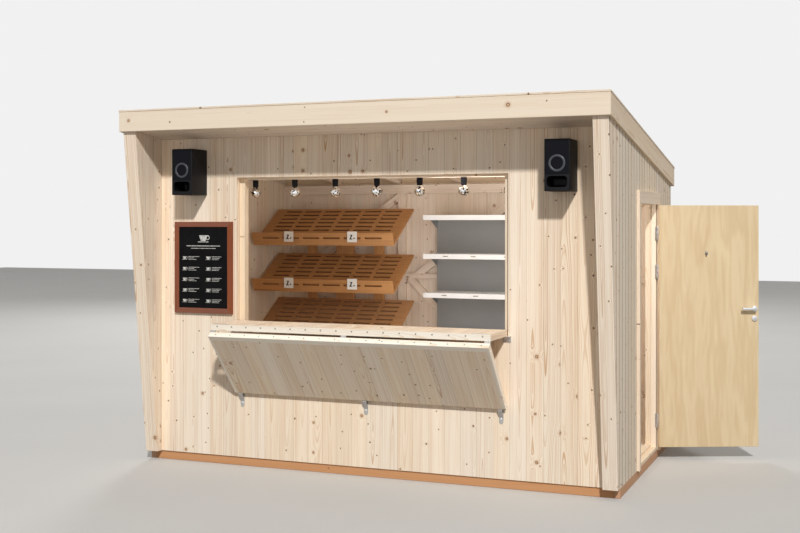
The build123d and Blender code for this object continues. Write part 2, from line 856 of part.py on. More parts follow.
# Bread racks: three sloping slotted boards, each with a slotted lip that leans out at its top
rack_x = rack_side_gap + rack_width / 2 - inner_x
rack_rear_y = frame_front_y - rack_rear_gap
rack_front_y = rack_rear_y - rack_depth
rack_foot_y = rack_front_y + rack_lip_lean
rack_run = rack_rear_y - rack_foot_y
rack_tan = (rack_lip_height + rack_rear_rise - rack_board_thickness) / rack_run
rack_slope = atan(rack_tan)
lip_tan = rack_lip_lean / rack_lip_height
lip_corner_fall = (rack_rear_rise - (rack_rear_y - rack_front_y - rack_lip_thickness) * rack_tan) / (
    1 + lip_tan * rack_tan
)
lip_corner_y = rack_front_y + rack_lip_thickness - lip_corner_fall * lip_tan
rack_slot_grid = (rack_slot_columns, rack_slot_rows)
slot_run = rack_width - 2 * rack_slot_side_margin - rack_slot_length
slot_column_pitch = slot_run / (rack_slot_columns - 1)
slot_rows_middle = rack_slot_rear_margin + rack_slot_row_pitch * (rack_slot_rows - 1) / 2


def lip_plane(lip_top):
    """The outer face of a lip, with its origin in the middle of the top edge."""
    lean = atan(lip_tan)
    return Plane(
        origin=(rack_x, rack_front_y, lip_top), x_dir=(1, 0, 0), z_dir=(0, -cos(lean), -sin(lean))
    )


with BuildPart() as bread_racks:
    for lip_top in rack_lip_tops:
        with BuildSketch(Plane.YZ.offset(rack_x)):
            Polygon(
                (rack_front_y, lip_top),
                (rack_foot_y, lip_top - rack_lip_height),
                (rack_rear_y, lip_top + rack_rear_rise - rack_board_thickness),
                (rack_rear_y, lip_top + rack_rear_rise),
                (lip_corner_y, lip_top + lip_corner_fall),
                (rack_front_y + rack_lip_thickness, lip_top),
                align=None,
            )
        extrude(amount=rack_width / 2, both=True)
        board_plane = Plane(
            origin=(rack_x, rack_rear_y, lip_top + rack_rear_rise),
            x_dir=(1, 0, 0),
            z_dir=(0, -sin(rack_slope), cos(rack_slope)),
        )
        with BuildSketch(board_plane):
            with Locations((0, -slot_rows_middle)):
                with GridLocations(slot_column_pitch, rack_slot_row_pitch, *rack_slot_grid):
                    Rectangle(rack_slot_length, rack_slot_width)
        extrude(amount=-rack_board_thickness, mode=Mode.SUBTRACT)
        with BuildSketch(lip_plane(lip_top)):
            with Locations((0, -rack_lip_slot_drop)):
                with GridLocations(slot_column_pitch, 0, rack_slot_columns, 1):
                    Rectangle(rack_slot_length, rack_lip_slot_width)
        extrude(amount=-rack_lip_thickness, mode=Mode.SUBTRACT)
save(bread_racks, "bread_racks")

rack_top = rack_lip_tops[-1] + rack_rear_rise
with BuildPart() as rack_uprights:
    with BuildSketch(Plane.XY.offset(floor_top)):
        for step, width in ((-1, rack_upright_width), (0, 2 * rack_upright_width), (1, rack_upright_width)):
            with Locations((rack_x + step * rack_upright_spacing, rack_rear_y)):
                Rectangle(width, rack_upright_thickness, align=(Align.CENTER, Align.MIN))
    extrude(amount=rack_top - floor_top)
save(rack_uprights, "rack_uprights")

with BuildPart() as price_tags:
    for lip_top in rack_lip_tops:
        with BuildSketch(lip_plane(lip_top)):
            with Locations((0, price_tag_rise - price_tag_height / 2)):
                with GridLocations(price_tag_spacing, 0, 2, 1):
                    Rectangle(price_tag_width, price_tag_height)
        extrude(amount=price_tag_thickness)
save(price_tags, "price_tags")

# Shelf unit against the rear framing: two uprights, a back panel and shelves on end brackets
unit_back_y = frame_front_y - unit_rear_gap
unit_face_y = unit_back_y - unit_panel_thickness
unit_mid_x = unit_left + unit_width / 2
unit_shelf_tops = [unit_top_height - index * unit_shelf_pitch for index in range(unit_shelf_count)]
with BuildPart() as unit_uprights:
    with BuildSketch(Plane.XY.offset(floor_top)):
        with Locations((unit_mid_x, (unit_face_y + frame_front_y) / 2)):
            with GridLocations(unit_width - unit_upright_width, 0, 2, 1):
                Rectangle(unit_upright_width, frame_front_y - unit_face_y)
    extrude(amount=unit_top_height - floor_top)
save(unit_uprights, "unit_uprights")

with BuildPart() as unit_back:
    with BuildSketch(Plane.XY.offset(floor_top)):
        with Locations((unit_mid_x, unit_face_y)):
            back_width = unit_width - 2 * unit_upright_width
            Rectangle(back_width, unit_panel_thickness, align=(Align.CENTER, Align.MIN))
    extrude(amount=unit_top_height - floor_top)
save(unit_back, "unit_back")

with BuildPart() as unit_shelves:
    for shelf_top in unit_shelf_tops:
        with BuildSketch(Plane.XY.offset(shelf_top - unit_shelf_thickness)):
            with Locations((unit_mid_x, unit_face_y)):
                Rectangle(unit_width, unit_shelf_depth, align=(Align.CENTER, Align.MAX))
        extrude(amount=unit_shelf_thickness)
save(unit_shelves, "unit_shelves")

bracket_offset = (unit_width - unit_bracket_thickness) / 2
with BuildPart() as unit_brackets:
    for bracket_x in (unit_mid_x - bracket_offset, unit_mid_x + bracket_offset):
        with BuildSketch(Plane.YZ.offset(bracket_x)):
            for shelf_top in unit_shelf_tops:
                shelf_bottom = shelf_top - unit_shelf_thickness
                Polygon(
                    (unit_face_y - unit_bracket_run, shelf_bottom),
                    (unit_face_y, shelf_bottom - unit_bracket_drop),
                    (unit_face_y, shelf_bottom),
                    align=None,
                )
        extrude(amount=unit_bracket_thickness / 2, both=True)
save(unit_brackets, "unit_brackets")
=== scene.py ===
"""The looks of a wooden market stall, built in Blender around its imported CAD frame."""

import logging
import math
import random
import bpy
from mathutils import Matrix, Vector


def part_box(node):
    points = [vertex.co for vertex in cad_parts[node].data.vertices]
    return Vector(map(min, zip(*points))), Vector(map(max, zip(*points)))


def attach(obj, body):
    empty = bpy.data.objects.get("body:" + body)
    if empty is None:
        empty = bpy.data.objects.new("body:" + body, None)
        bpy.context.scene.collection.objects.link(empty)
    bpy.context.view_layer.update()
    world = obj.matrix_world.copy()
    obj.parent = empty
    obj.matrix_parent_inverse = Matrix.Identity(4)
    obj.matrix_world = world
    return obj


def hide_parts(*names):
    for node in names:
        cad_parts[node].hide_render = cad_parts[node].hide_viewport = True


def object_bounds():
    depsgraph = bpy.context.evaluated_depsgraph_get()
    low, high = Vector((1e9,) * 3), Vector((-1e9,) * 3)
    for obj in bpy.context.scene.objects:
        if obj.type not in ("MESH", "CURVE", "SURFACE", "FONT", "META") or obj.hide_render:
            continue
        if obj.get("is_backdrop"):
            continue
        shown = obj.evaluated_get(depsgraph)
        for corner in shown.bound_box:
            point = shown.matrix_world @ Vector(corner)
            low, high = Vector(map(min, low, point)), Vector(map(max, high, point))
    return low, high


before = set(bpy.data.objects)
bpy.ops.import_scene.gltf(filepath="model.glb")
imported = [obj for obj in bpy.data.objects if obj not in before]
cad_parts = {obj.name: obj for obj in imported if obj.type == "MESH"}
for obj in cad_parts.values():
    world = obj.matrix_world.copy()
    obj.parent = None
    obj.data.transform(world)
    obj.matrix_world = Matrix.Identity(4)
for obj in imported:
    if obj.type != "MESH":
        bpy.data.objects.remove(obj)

import zlib
from dataclasses import dataclass, field, replace
from enum import Enum
from typing import Callable, Iterable, Sequence

import bpy
import numpy as np
from mathutils import Matrix, Vector

log = logging.getLogger("market_stall")

Point = Sequence[float]
Face = bpy.types.MeshPolygon

ROOF_PITCH = math.radians(8.33)
ROOF_NORMAL = (0.0, math.sin(ROOF_PITCH), math.cos(ROOF_PITCH))
ROOF_FRONT = -1.473
ROOF_HEIGHT = 2.714
FLAP_SLOPE = math.radians(49.6098)
FLAP_AXIS = (0.0, -1.477, 1.062)
DOOR_TURN = math.radians(24.0)
DOOR_AXIS = (1.8665, 0.371, 0.1)
FRONT_PITCH = 0.1204
FRONT_START = 0.006 - 16 * FRONT_PITCH
SIDE_PITCH = 0.105
SIDE_START = -1.094 - 5 * SIDE_PITCH
QUARTER = math.pi / 2
TO_FRONT = Matrix.Rotation(QUARTER, 4, "X")
HINGE_EASING = 0.0004
# Lengths below this are taken as none, and faces above this cosine look one way
TINY = 1e-6
LEVEL = 0.9


class Axis(Enum):
    """A direction of the row frame, by its place in a coordinate triple."""

    X = 0
    Y = 1
    Z = 2


class Body(Enum):
    """The CAD bodies that pieces ride on."""

    STALL = "stall"
    COUNTER = "counter"
    FLAP = "flap"
    DOOR = "door"


def roof_height(y: float) -> float:
    """Return the height of the roof's top at a place from front to back."""
    return ROOF_HEIGHT - (y - ROOF_FRONT) * math.tan(ROOF_PITCH)


def tint(code: str) -> tuple[float, ...]:
    """Turn a screen colour into the linear colour that a shader socket takes.

    Args:
        code: The colour as six hexadecimal digits.

    Returns:
        Red, green, blue and alpha, in linear light.
    """
    parts = [int(code[i : i + 2], 16) / 255 for i in (0, 2, 4)]
    linear = [p / 12.92 if p <= 0.04045 else ((p + 0.055) / 1.055) ** 2.4 for p in parts]
    return (*linear, 1.0)


@dataclass(frozen=True)
class Value:
    """A number or a vector inside a shader, worked on with plain signs."""

    shader: "Shader"
    socket: bpy.types.NodeSocket

    def __add__(self, other: "Term") -> "Value":
        """Return the sum."""
        return self.shader.math("ADD", self, other)

    def __sub__(self, other: "Term") -> "Value":
        """Return the difference."""
        return self.shader.math("SUBTRACT", self, other)

    def __mul__(self, other: "Term") -> "Value":
        """Return the product, part by part where both are vectors."""
        return self.shader.math("MULTIPLY", self, other)

    def __truediv__(self, other: "Term") -> "Value":
        """Return the quotient."""
        return self.shader.math("DIVIDE", self, other)


Term = Value | float | str | tuple


class Shader:
    """The nodes of one material, or of the world, while they are being wired up."""

    def __init__(self, owner: bpy.types.Material | bpy.types.World, surface: str) -> None:
        """Start on a material or a world.

        Args:
            owner: The material or the world.
            surface: The name of its shader node.
        """
        owner.use_nodes = True
        self.tree = owner.node_tree
        self.surface = self.tree.nodes[surface]

    def put(self, value: Term, socket: bpy.types.NodeSocket) -> None:
        """Link a value into a socket, or write a number, a vector or a colour into it.

        Args:
            value: What goes in, where a text is a screen colour.
            socket: The input socket.
        """
        if isinstance(value, Value):
            self.tree.links.new(value.socket, socket)
        else:
            socket.default_value = tint(value) if isinstance(value, str) else value

    def give(self, name: str, value: Term) -> None:
        """Put a value into one of the shader node's own sockets."""
        self.put(value, self.surface.inputs[name])

    def node(self, kind: str, inputs: dict[str | int, Term], **settings: object) -> list[Value]:
        """Add a node.

        Args:
            kind: The node's type name after "ShaderNode".
            inputs: What goes into its sockets, by name or number.
            **settings: Its properties by name.

        Returns:
            Its outputs.
        """
        made = self.tree.nodes.new("ShaderNode" + kind)
        for key, value in settings.items():
            setattr(made, key, value)
        for key, value in inputs.items():
            self.put(value, made.inputs[key])
        return [Value(self, socket) for socket in made.outputs]

    def math(self, operation: str, *values: Term) -> Value:
        """Work on numbers, or on vectors if the first value is one."""
        kind = "VectorMath" if values[0].socket.type == "VECTOR" else "Math"
        return self.node(kind, dict(enumerate(values)), operation=operation)[0]

    def ramp(
        self, value: Value, low: float, high: float, start: float = 0.0, end: float = 1.0
    ) -> Value:
        """Map the numbers from low to high smoothly to those from start to end."""
        inputs = dict(enumerate((value, low, high, start, end)))
        return self.node("MapRange", inputs, interpolation_type="SMOOTHSTEP")[0]

    def mix(self, amount: Value, first: Term, second: Term) -> Value:
        """Blend two colours; the amount is the second one's share."""
        return self.node("Mix", {0: amount, 6: first, 7: second}, data_type="RGBA")[2]

    def noise(self, at: Value, scale: float, detail: float = 2.0, rough: float = 0.5) -> Value:
        """Return a noise from 0 to 1, by its scale per metre and its finer layers."""
        inputs = {"Vector": at, "Scale": scale, "Detail": detail, "Roughness": rough}
        return self.node("TexNoise", inputs)[0]

    def cells(self, at: Value, scale: float, **settings: object) -> tuple[Value, list[Value]]:
        """Split space into cells.

        Args:
            at: The coordinates.
            scale: How many cells there are in a metre.
            **settings: The Voronoi node's properties.

        Returns:
            The distance to the cell's middle, and three chance numbers of the cell.
        """
        inputs = {"Vector": at, "Scale": scale}
        away, colour, *_ = self.node("TexVoronoi", inputs, feature="F1", **settings)
        return away, self.node("SeparateColor", {0: colour})

    def bump(self, height: Value, strength: float, distance: float) -> None:
        """Give the surface a relief of a strength and of a height in metres."""
        inputs = {"Strength": strength, "Distance": distance, "Height": height}
        self.give("Normal", self.node("Bump", inputs)[0])

    def stored(self, name: str) -> tuple[Value, Value]:
        """Return an attribute of the mesh as a vector and as a number."""
        _, vector, number, _ = self.node("Attribute", {}, attribute_name=name)
        return vector, number

    def place(self) -> Value:
        """Return the point's place in the row frame."""
        return self.node("TexCoord", {})[3]

    def seen(self) -> Value:
        """Tell what is looked at from what only lights other things.

        Returns:
            1 for what is looked at, straight, mirrored or through glass, and 0 for light.
        """
        rays = {value.socket.name: value for value in self.node("LightPath", {})}
        straight = self.math("MAXIMUM", rays["Is Camera Ray"], rays["Is Glossy Ray"])
        return self.math("MAXIMUM", straight, rays["Is Transmission Ray"])


@dataclass(frozen=True)
class Finish:
    """What a piece is finished with: a named material with a slot name, and two colours that a
    pattern mixes.
    """

    name: str
    slot: str
    light: str
    dark: str

    def material(self) -> bpy.types.Material:
        """Build the finish's material.

        Returns:
            The material.
        """
        made = bpy.data.materials.new(self.name)
        self.wire(Shader(made, "Principled BSDF"))
        return made

    def wire(self, s: Shader) -> None:
        """Wire the finish's nodes in a shader, as each kind of finish does in its own way."""
        raise NotImplementedError


@dataclass(frozen=True)
class WoodFinish(Finish):
    """Sawn and planed wood whose growth rings and knots follow each board's own length."""

    knot: str
    ring_width: float = 0.0075
    ring_depth: float = 0.55
    knot_share: float = 0.42
    knot_pitch: float = 0.125
    tone_change: float = 0.07
    warmth_change: float = 0.10
    rough: float = 0.62
    relief: float = 0.25
    # The colour of the painted shade in grooves and slots, blended in by the stored rim amount
    groove_shade_colour: str = "5C4A38"

    def wire(self, s: Shader) -> None:
        """Wire the wood from each board's stored coordinates and chance number.

        Args:
            s: The shader.
        """
        board, rim = s.stored("board")[1], s.stored("rim")[1]
        raw = s.stored("grain")[0]
        chances = [s.math("FRACT", board * factor) for factor in (7.31, 17.7, 43.1)]
        seed = {i: board * factor for i, factor in enumerate((31.7, 17.3, 5.9))}
        at = raw + s.node("CombineXYZ", seed)[0]
        along, across, depth = s.node("SeparateXYZ", {0: raw})
        # Knots, each with a dark core, a stained halo and a push that bends the rings round it
        away, kind = s.cells(at, 1 / self.knot_pitch, voronoi_dimensions="2D")
        there = s.math("LESS_THAN", kind[0], self.knot_share)
        grown = s.math("POWER", kind[1], 7.0)
        size = grown * 0.010 + 0.0042
        edge = s.noise(at * (90.0, 90.0, 0.0), 1.0, 1.0)
        gap = away * self.knot_pitch / size + (edge - 0.5) * 0.5
        core = s.ramp(gap, 1.05, 0.8) * there
        halo = s.ramp(gap, 2.6, 0.9) * there
        push = s.ramp(gap, 6.5, 0.0) * there * (size * 2.2)
        # Rings about a pith that lies somewhere below the board, aslant and a little wavy
        wander = s.noise(at * (0.9, 1.6, 1.6), 1.0, 1.5) - 0.5
        rise = along * (chances[1] - 0.5) * 0.05
        below = chances[0] * 0.06 + 0.012 + rise + depth + wander * 0.09
        side = across + (chances[2] - 0.5) * 0.10 + wander * 0.03
        radius = s.math("SQRT", side * side + below * below) + push
        years = radius / self.ring_width
        rhythm = {"W": years, "Scale": 0.55, "Detail": 1.0}
        uneven = s.node("TexNoise", rhythm, noise_dimensions="1D")[0]
        season = s.math("FRACT", years + uneven * 1.6)
        late = s.ramp(season, 0.35, 0.92) * s.ramp(season, 1.0, 0.94)
        late = late * s.ramp(uneven, 0.3, 0.65, 0.15, 1.0) * s.ramp(chances[2], 0.0, 1.0, 0.35, 1.1)
        fibre = s.noise(at * (6.0, 300.0, 300.0), 1.0, 3.0, 0.6)
        streak = s.noise(at * (0.8, 30.0, 30.0), 1.0, 3.0, 0.6)
        shade = late * self.ring_depth + (fibre - 0.5) * 0.25 + (streak - 0.47) * 0.9
        wood = s.mix(s.node("Clamp", {0: shade})[0], self.light, self.dark)
        tone = s.ramp(board, 0.0, 1.0, 1 - self.tone_change / 2, 1 + self.tone_change / 2)
        warmth = s.ramp(chances[0], 0.0, 1.0, 1 - self.warmth_change, 1 + self.warmth_change)
        toned = s.node("HueSaturation", {"Color": wood, "Value": tone, "Saturation": warmth})[0]
        stained = s.mix(halo * 0.45, toned, self.dark)
        middle = s.mix(s.ramp(grown, 0.1, 0.5), self.knot, self.dark)
        heart = s.mix(s.ramp(gap, 0.5, 0.85), middle, self.knot)
        # Painted shade: the stored rim amount blends in the dark groove colour where grooves and
        # slots lie in shadow
        s.give("Base Color", s.mix(rim, s.mix(core, stained, heart), self.groove_shade_colour))
        s.give("Roughness", s.ramp(late, 0.0, 1.0, self.rough + 0.06, self.rough - 0.06))
        s.give("Specular IOR Level", 0.3)
        s.bump(late * -0.5 + fibre * 0.7 - core * 0.5, self.relief, 0.0006)


@dataclass(frozen=True)
class PlyFinish(Finish):
    """Rotary-cut plywood, with a broad soft figure."""

    rough: float = 0.5

    def wire(self, s: Shader) -> None:
        """Wire the plywood's bands, fibres and patches.

        Args:
            s: The shader.
        """
        seed = s.node("CombineXYZ", {0: s.stored("board")[1] * 11.0})[0]
        at = s.stored("grain")[0] + seed
        broad = s.noise(at * (0.8, 6.5, 6.5), 1.0, 3.0, 0.55)
        bent = s.node("CombineXYZ", {1: broad * 0.35})[0]
        bands = {"Vector": bent, "Scale": 5.0, "Distortion": 1.0}
        wave = s.node("TexWave", bands, wave_type="BANDS", bands_direction="Y")[1]
        fibre = s.noise(at * (9.0, 330.0, 330.0), 1.0)
        patch = s.noise(at * (0.9, 8.0, 8.0), 1.0, 3.0)
        depth = wave * 0.30 + (fibre - 0.5) * 0.3 + (patch - 0.4) * 0.6
        s.give("Base Color", s.mix(s.node("Clamp", {0: depth})[0], self.light, self.dark))
        s.give("Roughness", self.rough)
        s.bump(fibre, 0.12, 0.0003)


@dataclass(frozen=True)
class CoatFinish(Finish):
    """A painted, moulded or printed surface with a fine texture and worn patches."""

    rough: float = 0.45
    grain: float = 900.0
    relief: float = 0.08
    patch: float = 3.0
    patch_share: float = 0.25
    shine: float = 0.5

    def wire(self, s: Shader) -> None:
        """Wire the coat's patches and its grain.

        Args:
            s: The shader.
        """
        at = s.place()
        broad = s.noise(at, self.patch, 4.0, 0.6)
        amount = s.ramp(broad, 0.35, 0.75) * self.patch_share
        s.give("Base Color", s.mix(amount, self.light, self.dark))
        s.give("Roughness", s.ramp(broad, 0.2, 0.8, self.rough - 0.05, self.rough + 0.07))
        s.give("Specular IOR Level", self.shine)
        s.bump(s.noise(at, self.grain), self.relief, 0.0004)


@dataclass(frozen=True)
class MetalFinish(Finish):
    """Bare or plated metal, with a mottled sheen and fine scratches or, on glass, dents and a
    painted reflection.
    """

    rough: float = 0.32
    mottle: float = 60.0
    dents: float = 0.0
    contrast: float = 0.5

    def wire(self, s: Shader) -> None:
        """Wire the metal's mottles and its scratches or dents.

        Args:
            s: The shader.
        """
        at = s.place()
        scratch = s.noise(at * (40.0, 40.0, 900.0), 1.0)
        # On glass, patches of the dark colour are a painted reflection of dark surroundings; the
        # dents are a bump
        if self.dents:
            amount = s.ramp(s.noise(at, self.mottle, 1.0), 0.49, 0.42)
            s.bump(s.noise(at, 38.0, 1.0), self.dents, 0.02)
        else:
            amount = s.cells(at, self.mottle)[1][0] * self.contrast
            s.bump(scratch, 0.08, 0.0002)
        s.give("Base Color", s.mix(amount, self.light, self.dark))
        s.give("Metallic", 1.0)
        s.give("Roughness", s.ramp(scratch, 0.2, 0.8, self.rough - 0.07, self.rough + 0.1))


@dataclass(frozen=True)
class FeltFinish(Finish):
    """Mineral roofing felt with fine granules."""

    rough: float = 0.92

    def wire(self, s: Shader) -> None:
        """Wire the felt's granules.

        Args:
            s: The shader.
        """
        at = s.place()
        away, kind = s.cells(at, 420.0)
        amount = kind[0] * 0.45 + s.noise(at, 2.2, 4.0, 0.6) * 0.4
        s.give("Base Color", s.mix(amount, self.light, self.dark))
        s.give("Roughness", self.rough)
        s.bump(away, 0.5, 0.0012)


KNOT = "38221A"
PINE = WoodFinish("pine_planed", "pine", "FBEAD3", "CFA379", KNOT, ring_depth=0.75)
PINE_SIDE = WoodFinish("pine_side", "pine", "F1E2CC", "D2B08A", KNOT, ring_depth=0.4)
PINE_INSIDE = WoodFinish("pine_inside", "pine", "ECDDCB", "CBA88C", KNOT, ring_depth=0.45)
PINE_TRIM = WoodFinish("pine_trim", "pine", "EFDDC4", "CFA880", KNOT, 0.006, knot_share=0.2)
PINE_EDGE = WoodFinish("pine_edge", "pine", "FCF3E4", "E0C19C", KNOT, 0.006, knot_share=0.12)
TREATED = WoodFinish("pine_treated", "treated", "CF9E78", "AE7850", "6A3A1E", knot_share=0.12)
# The racks' groove colour is the painted shade inside their slots
STAINED = WoodFinish(
    "rack_stained", "rack_wood", "C69362", "8F5F3B", "4E2E16", 0.005, 0.5,
    knot_share=0.0, tone_change=0.03, warmth_change=0.03, groove_shade_colour="2E1A0D",
)
MENU_WOOD = WoodFinish(
    "menu_stained", "menu_wood", "8A523C", "5E3324", "3E1B11", 0.004, knot_share=0.0
)
PLY = PlyFinish("birch_ply", "plywood", "DFC9A3", "C3A273")
BLACK_BOARD = CoatFinish(
    "chalkboard", "black_panel", "0E0E0F", "1D1D1E", 0.8, relief=0.12,
    patch=9.0, patch_share=0.5, shine=0.08,
)
BLACK_CASE = CoatFinish(
    "moulded_black", "black_plastic", "0D0D10", "15151A", 0.5, 700.0, relief=0.15, shine=0.2
)
BLACK_CLOTH = CoatFinish(
    "speaker_cloth", "black_plastic", "0F1015", "17181E", 0.75, 1500.0, relief=0.6, shine=0.12
)
GREY_RING = CoatFinish("speaker_ring", "black_plastic", "2E3136", "44484E", 0.38, shine=0.6)
WHITE_STEEL = CoatFinish("white_powder", "white_metal", "F4F4F3", "E9E9E7", 0.38)
GREY_STEEL = CoatFinish("grey_powder", "grey_metal", "8F8E8B", "7F7E7B", 0.5)
PLATED = CoatFinish(
    "bright_plated", "steel", "B9B5B0", "9C9893", 0.3, relief=0.05, patch=40.0, shine=0.9
)
CARD = CoatFinish("price_card", "white_metal", "F4F2EC", "E6E2D8", 0.7, relief=0.05)
INK = CoatFinish("plain_ink", "black_plastic", "232323", "333333", 0.8, relief=0.05)
PALE_INK = CoatFinish("pale_ink", "grey_metal", "8D8D8D", "A5A5A5", 0.8, relief=0.05)
CHALK = CoatFinish(
    "chalk", "black_panel", "D8D6D0", "7E7D7A", 0.9, 350.0, relief=0.4, patch=60.0, patch_share=0.9
)
ZINC = MetalFinish("zinc_plate", "steel", "D9D9DA", "B7B8BB", 0.42)
DARK_SCREW = MetalFinish("screw_head", "steel", "1C1917", "100E0D", 0.7, 300.0)
BRIGHT_SCREW = MetalFinish("bright_screw", "steel", "F0F0F0", "D5D5D5", 0.3, 300.0)
# The bulbs' dark colour is a painted reflection, laid in patches over the mirror
MIRROR = MetalFinish("mirror_glass", "bulb_glass", "FFFFFF", "3A3836", 0.14, 70.0, dents=0.4)
DULL_STEEL = MetalFinish("dull_steel", "steel", "8E8B86", "6F6C68", 0.4)
FELT = FeltFinish("roof_felt", "roof_felt", "6F6A64", "A39C93")


class Piece:
    """A piece on the bench. Most moves are Blender's own operators and give the piece back."""

    materials: dict[str, bpy.types.Material] = {}

    def __init__(self, thing: bpy.types.Object, name: str) -> None:
        """Take an object to the bench under a name."""
        self.thing = thing
        self.thing.name = name

    @property
    def mesh(self) -> bpy.types.Mesh:
        """Return the piece's mesh."""
        return self.thing.data

    @classmethod
    def add(cls, name: str, primitive: Callable[..., object], **values: object) -> "Piece":
        """Add a primitive, with its place and size moved into its mesh.

        Args:
            name: The piece's name.
            primitive: Blender's operator for it.
            **values: The operator's values.

        Returns:
            The piece.
        """
        bpy.ops.object.select_all(action="DESELECT")
        primitive(**values)
        piece = cls(bpy.context.active_object, name).take()
        bpy.ops.object.transform_apply(location=True, rotation=True, scale=True)
        return piece

    @classmethod
    def block(cls, name: str, low: Point, high: Point) -> "Piece":
        """Add a block.

        Args:
            name: The piece's name.
            low: Its lowest corner.
            high: Its highest corner.

        Returns:
            The piece.
        """
        middle = [(a + b) / 2 for a, b in zip(low, high)]
        sides = [b - a for a, b in zip(low, high)]
        cube = bpy.ops.mesh.primitive_cube_add
        return cls.add(name, cube, size=1.0, location=middle, scale=sides)

    @classmethod
    def rod(
        cls, name: str, centre: Point, radius: float, length: float, sides: int, turn: float = 0.0
    ) -> "Piece":
        """Add a rod about a centre, turned from upright about the X axis."""
        values = {"location": centre, "radius": radius, "depth": length, "rotation": (turn, 0, 0)}
        return cls.add(name, bpy.ops.mesh.primitive_cylinder_add, vertices=sides, **values)

    @classmethod
    def hoop(
        cls, centre: Point, radius: float, width: float, segments: Sequence[int], flat: float
    ) -> "Piece":
        """Add a flattened ring that faces the front.

        Args:
            centre: Its middle.
            radius: The radius of its middle line.
            width: Half of its width.
            segments: How many parts it has around, and across.
            flat: Its depth as a share of its width.

        Returns:
            The piece.
        """
        hoop = cls.add(
            "hoop", bpy.ops.mesh.primitive_torus_add, location=centre, rotation=(QUARTER, 0, 0),
            major_radius=radius, minor_radius=width,
            major_segments=segments[0], minor_segments=segments[1],
        )
        return hoop.squeeze(centre, (1.0, flat, 1.0))

    @classmethod
    def of_mesh(cls, name: str, mesh: bpy.types.Mesh) -> "Piece":
        """Make a piece from a copy of a mesh.

        Args:
            name: The piece's name.
            mesh: The mesh.

        Returns:
            The piece.
        """
        thing = bpy.data.objects.new(name, mesh.copy())
        bpy.context.scene.collection.objects.link(thing)
        return cls(thing, name)

    @classmethod
    def of_node(cls, name: str, node: str) -> "Piece":
        """Copy a CAD node, with its loose triangles merged and its flat faces made whole.

        Args:
            name: The piece's name.
            node: The CAD node.

        Returns:
            The piece.
        """
        piece = cls.of_mesh(name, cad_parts[node].data)
        piece.mesh.materials.clear()
        piece.take()
        bpy.ops.object.mode_set(mode="EDIT")
        bpy.ops.mesh.select_all(action="SELECT")
        bpy.ops.mesh.remove_doubles(threshold=1e-5)
        bpy.ops.mesh.dissolve_limited(angle_limit=math.radians(1.0))
        bpy.ops.object.mode_set(mode="OBJECT")
        return piece

    @classmethod
    def join(cls, name: str, pieces: Sequence["Piece"]) -> "Piece":
        """Join pieces into one.

        Args:
            name: The joined piece's name.
            pieces: The pieces.

        Returns:
            The joined piece.
        """
        pieces[0].take()
        for piece in pieces:
            piece.thing.select_set(True)
        if len(pieces) > 1:
            bpy.ops.object.join()
        return cls(pieces[0].thing, name)

    def take(self) -> "Piece":
        """Make the piece the only selected and active one.

        Returns:
            The piece.
        """
        bpy.ops.object.select_all(action="DESELECT")
        self.thing.select_set(True)
        bpy.context.view_layer.objects.active = self.thing
        return self

    def work(self, move: Callable[..., object], **values: object) -> "Piece":
        """Work in edit mode on what is selected there.

        Args:
            move: Blender's operator.
            **values: The operator's values.

        Returns:
            The piece.
        """
        self.take()
        bpy.ops.object.mode_set(mode="EDIT")
        move(**values)
        bpy.ops.object.mode_set(mode="OBJECT")
        return self

    def select_all(self, action: str = "SELECT") -> "Piece":
        """Select, or deselect, the whole mesh."""
        return self.work(bpy.ops.mesh.select_all, action=action)

    def select_faces(self, wanted: Callable[[Face], bool]) -> "Piece":
        """Select only some faces.

        Args:
            wanted: Tells whether a face is one of them.

        Returns:
            The piece.
        """
        bpy.context.tool_settings.mesh_select_mode = (False, False, True)
        self.select_all("DESELECT")
        for face in self.mesh.polygons:
            face.select = wanted(face)
        return self

    def select_edges(self, wanted: Callable[[Vector, Vector], bool]) -> "Piece":
        """Select only some edges.

        Args:
            wanted: Tells from the places of its ends whether an edge is one of them.

        Returns:
            The piece.
        """
        bpy.context.tool_settings.mesh_select_mode = (False, True, False)
        self.select_all("DESELECT")
        for edge in self.mesh.edges:
            edge.select = wanted(*(self.mesh.vertices[i].co for i in edge.vertices))
        return self

    def inset(self, *steps: tuple[float, float], each: bool = False) -> "Piece":
        """Inset the selected faces in steps.

        Args:
            *steps: For each step, how far the edges go in and how far the faces go out.
            each: Whether every face is inset by itself.

        Returns:
            The piece.
        """
        self.take()
        bpy.ops.object.mode_set(mode="EDIT")
        for thickness, depth in steps:
            bpy.ops.mesh.inset(thickness=thickness, depth=depth, use_individual=each)
        bpy.ops.object.mode_set(mode="OBJECT")
        return self

    def slice_off(self, point: Point, normal: Point) -> "Piece":
        """Cut off all that lies beyond a plane, on its normal's side, and close it."""
        return self.select_all().work(
            bpy.ops.mesh.bisect, plane_co=point, plane_no=normal,
            use_fill=True, clear_outer=True, threshold=TINY,
        )

    def modify(self, kind: str, **settings: object) -> "Piece":
        """Add a modifier and apply it.

        Args:
            kind: The modifier's type.
            **settings: Its properties by name.

        Returns:
            The piece.
        """
        self.take()
        bpy.ops.object.modifier_add(type=kind)
        step = self.thing.modifiers[-1]
        for key, value in settings.items():
            setattr(step, key, value)
        bpy.ops.object.modifier_apply(modifier=step.name)
        return self

    def bevel(self, width: float, segments: int = 2) -> "Piece":
        """Round off the sharp edges by a width in metres, in some steps."""
        angle = math.radians(30.0)
        return self.modify(
            "BEVEL", width=width, segments=segments, limit_method="ANGLE", angle_limit=angle
        )

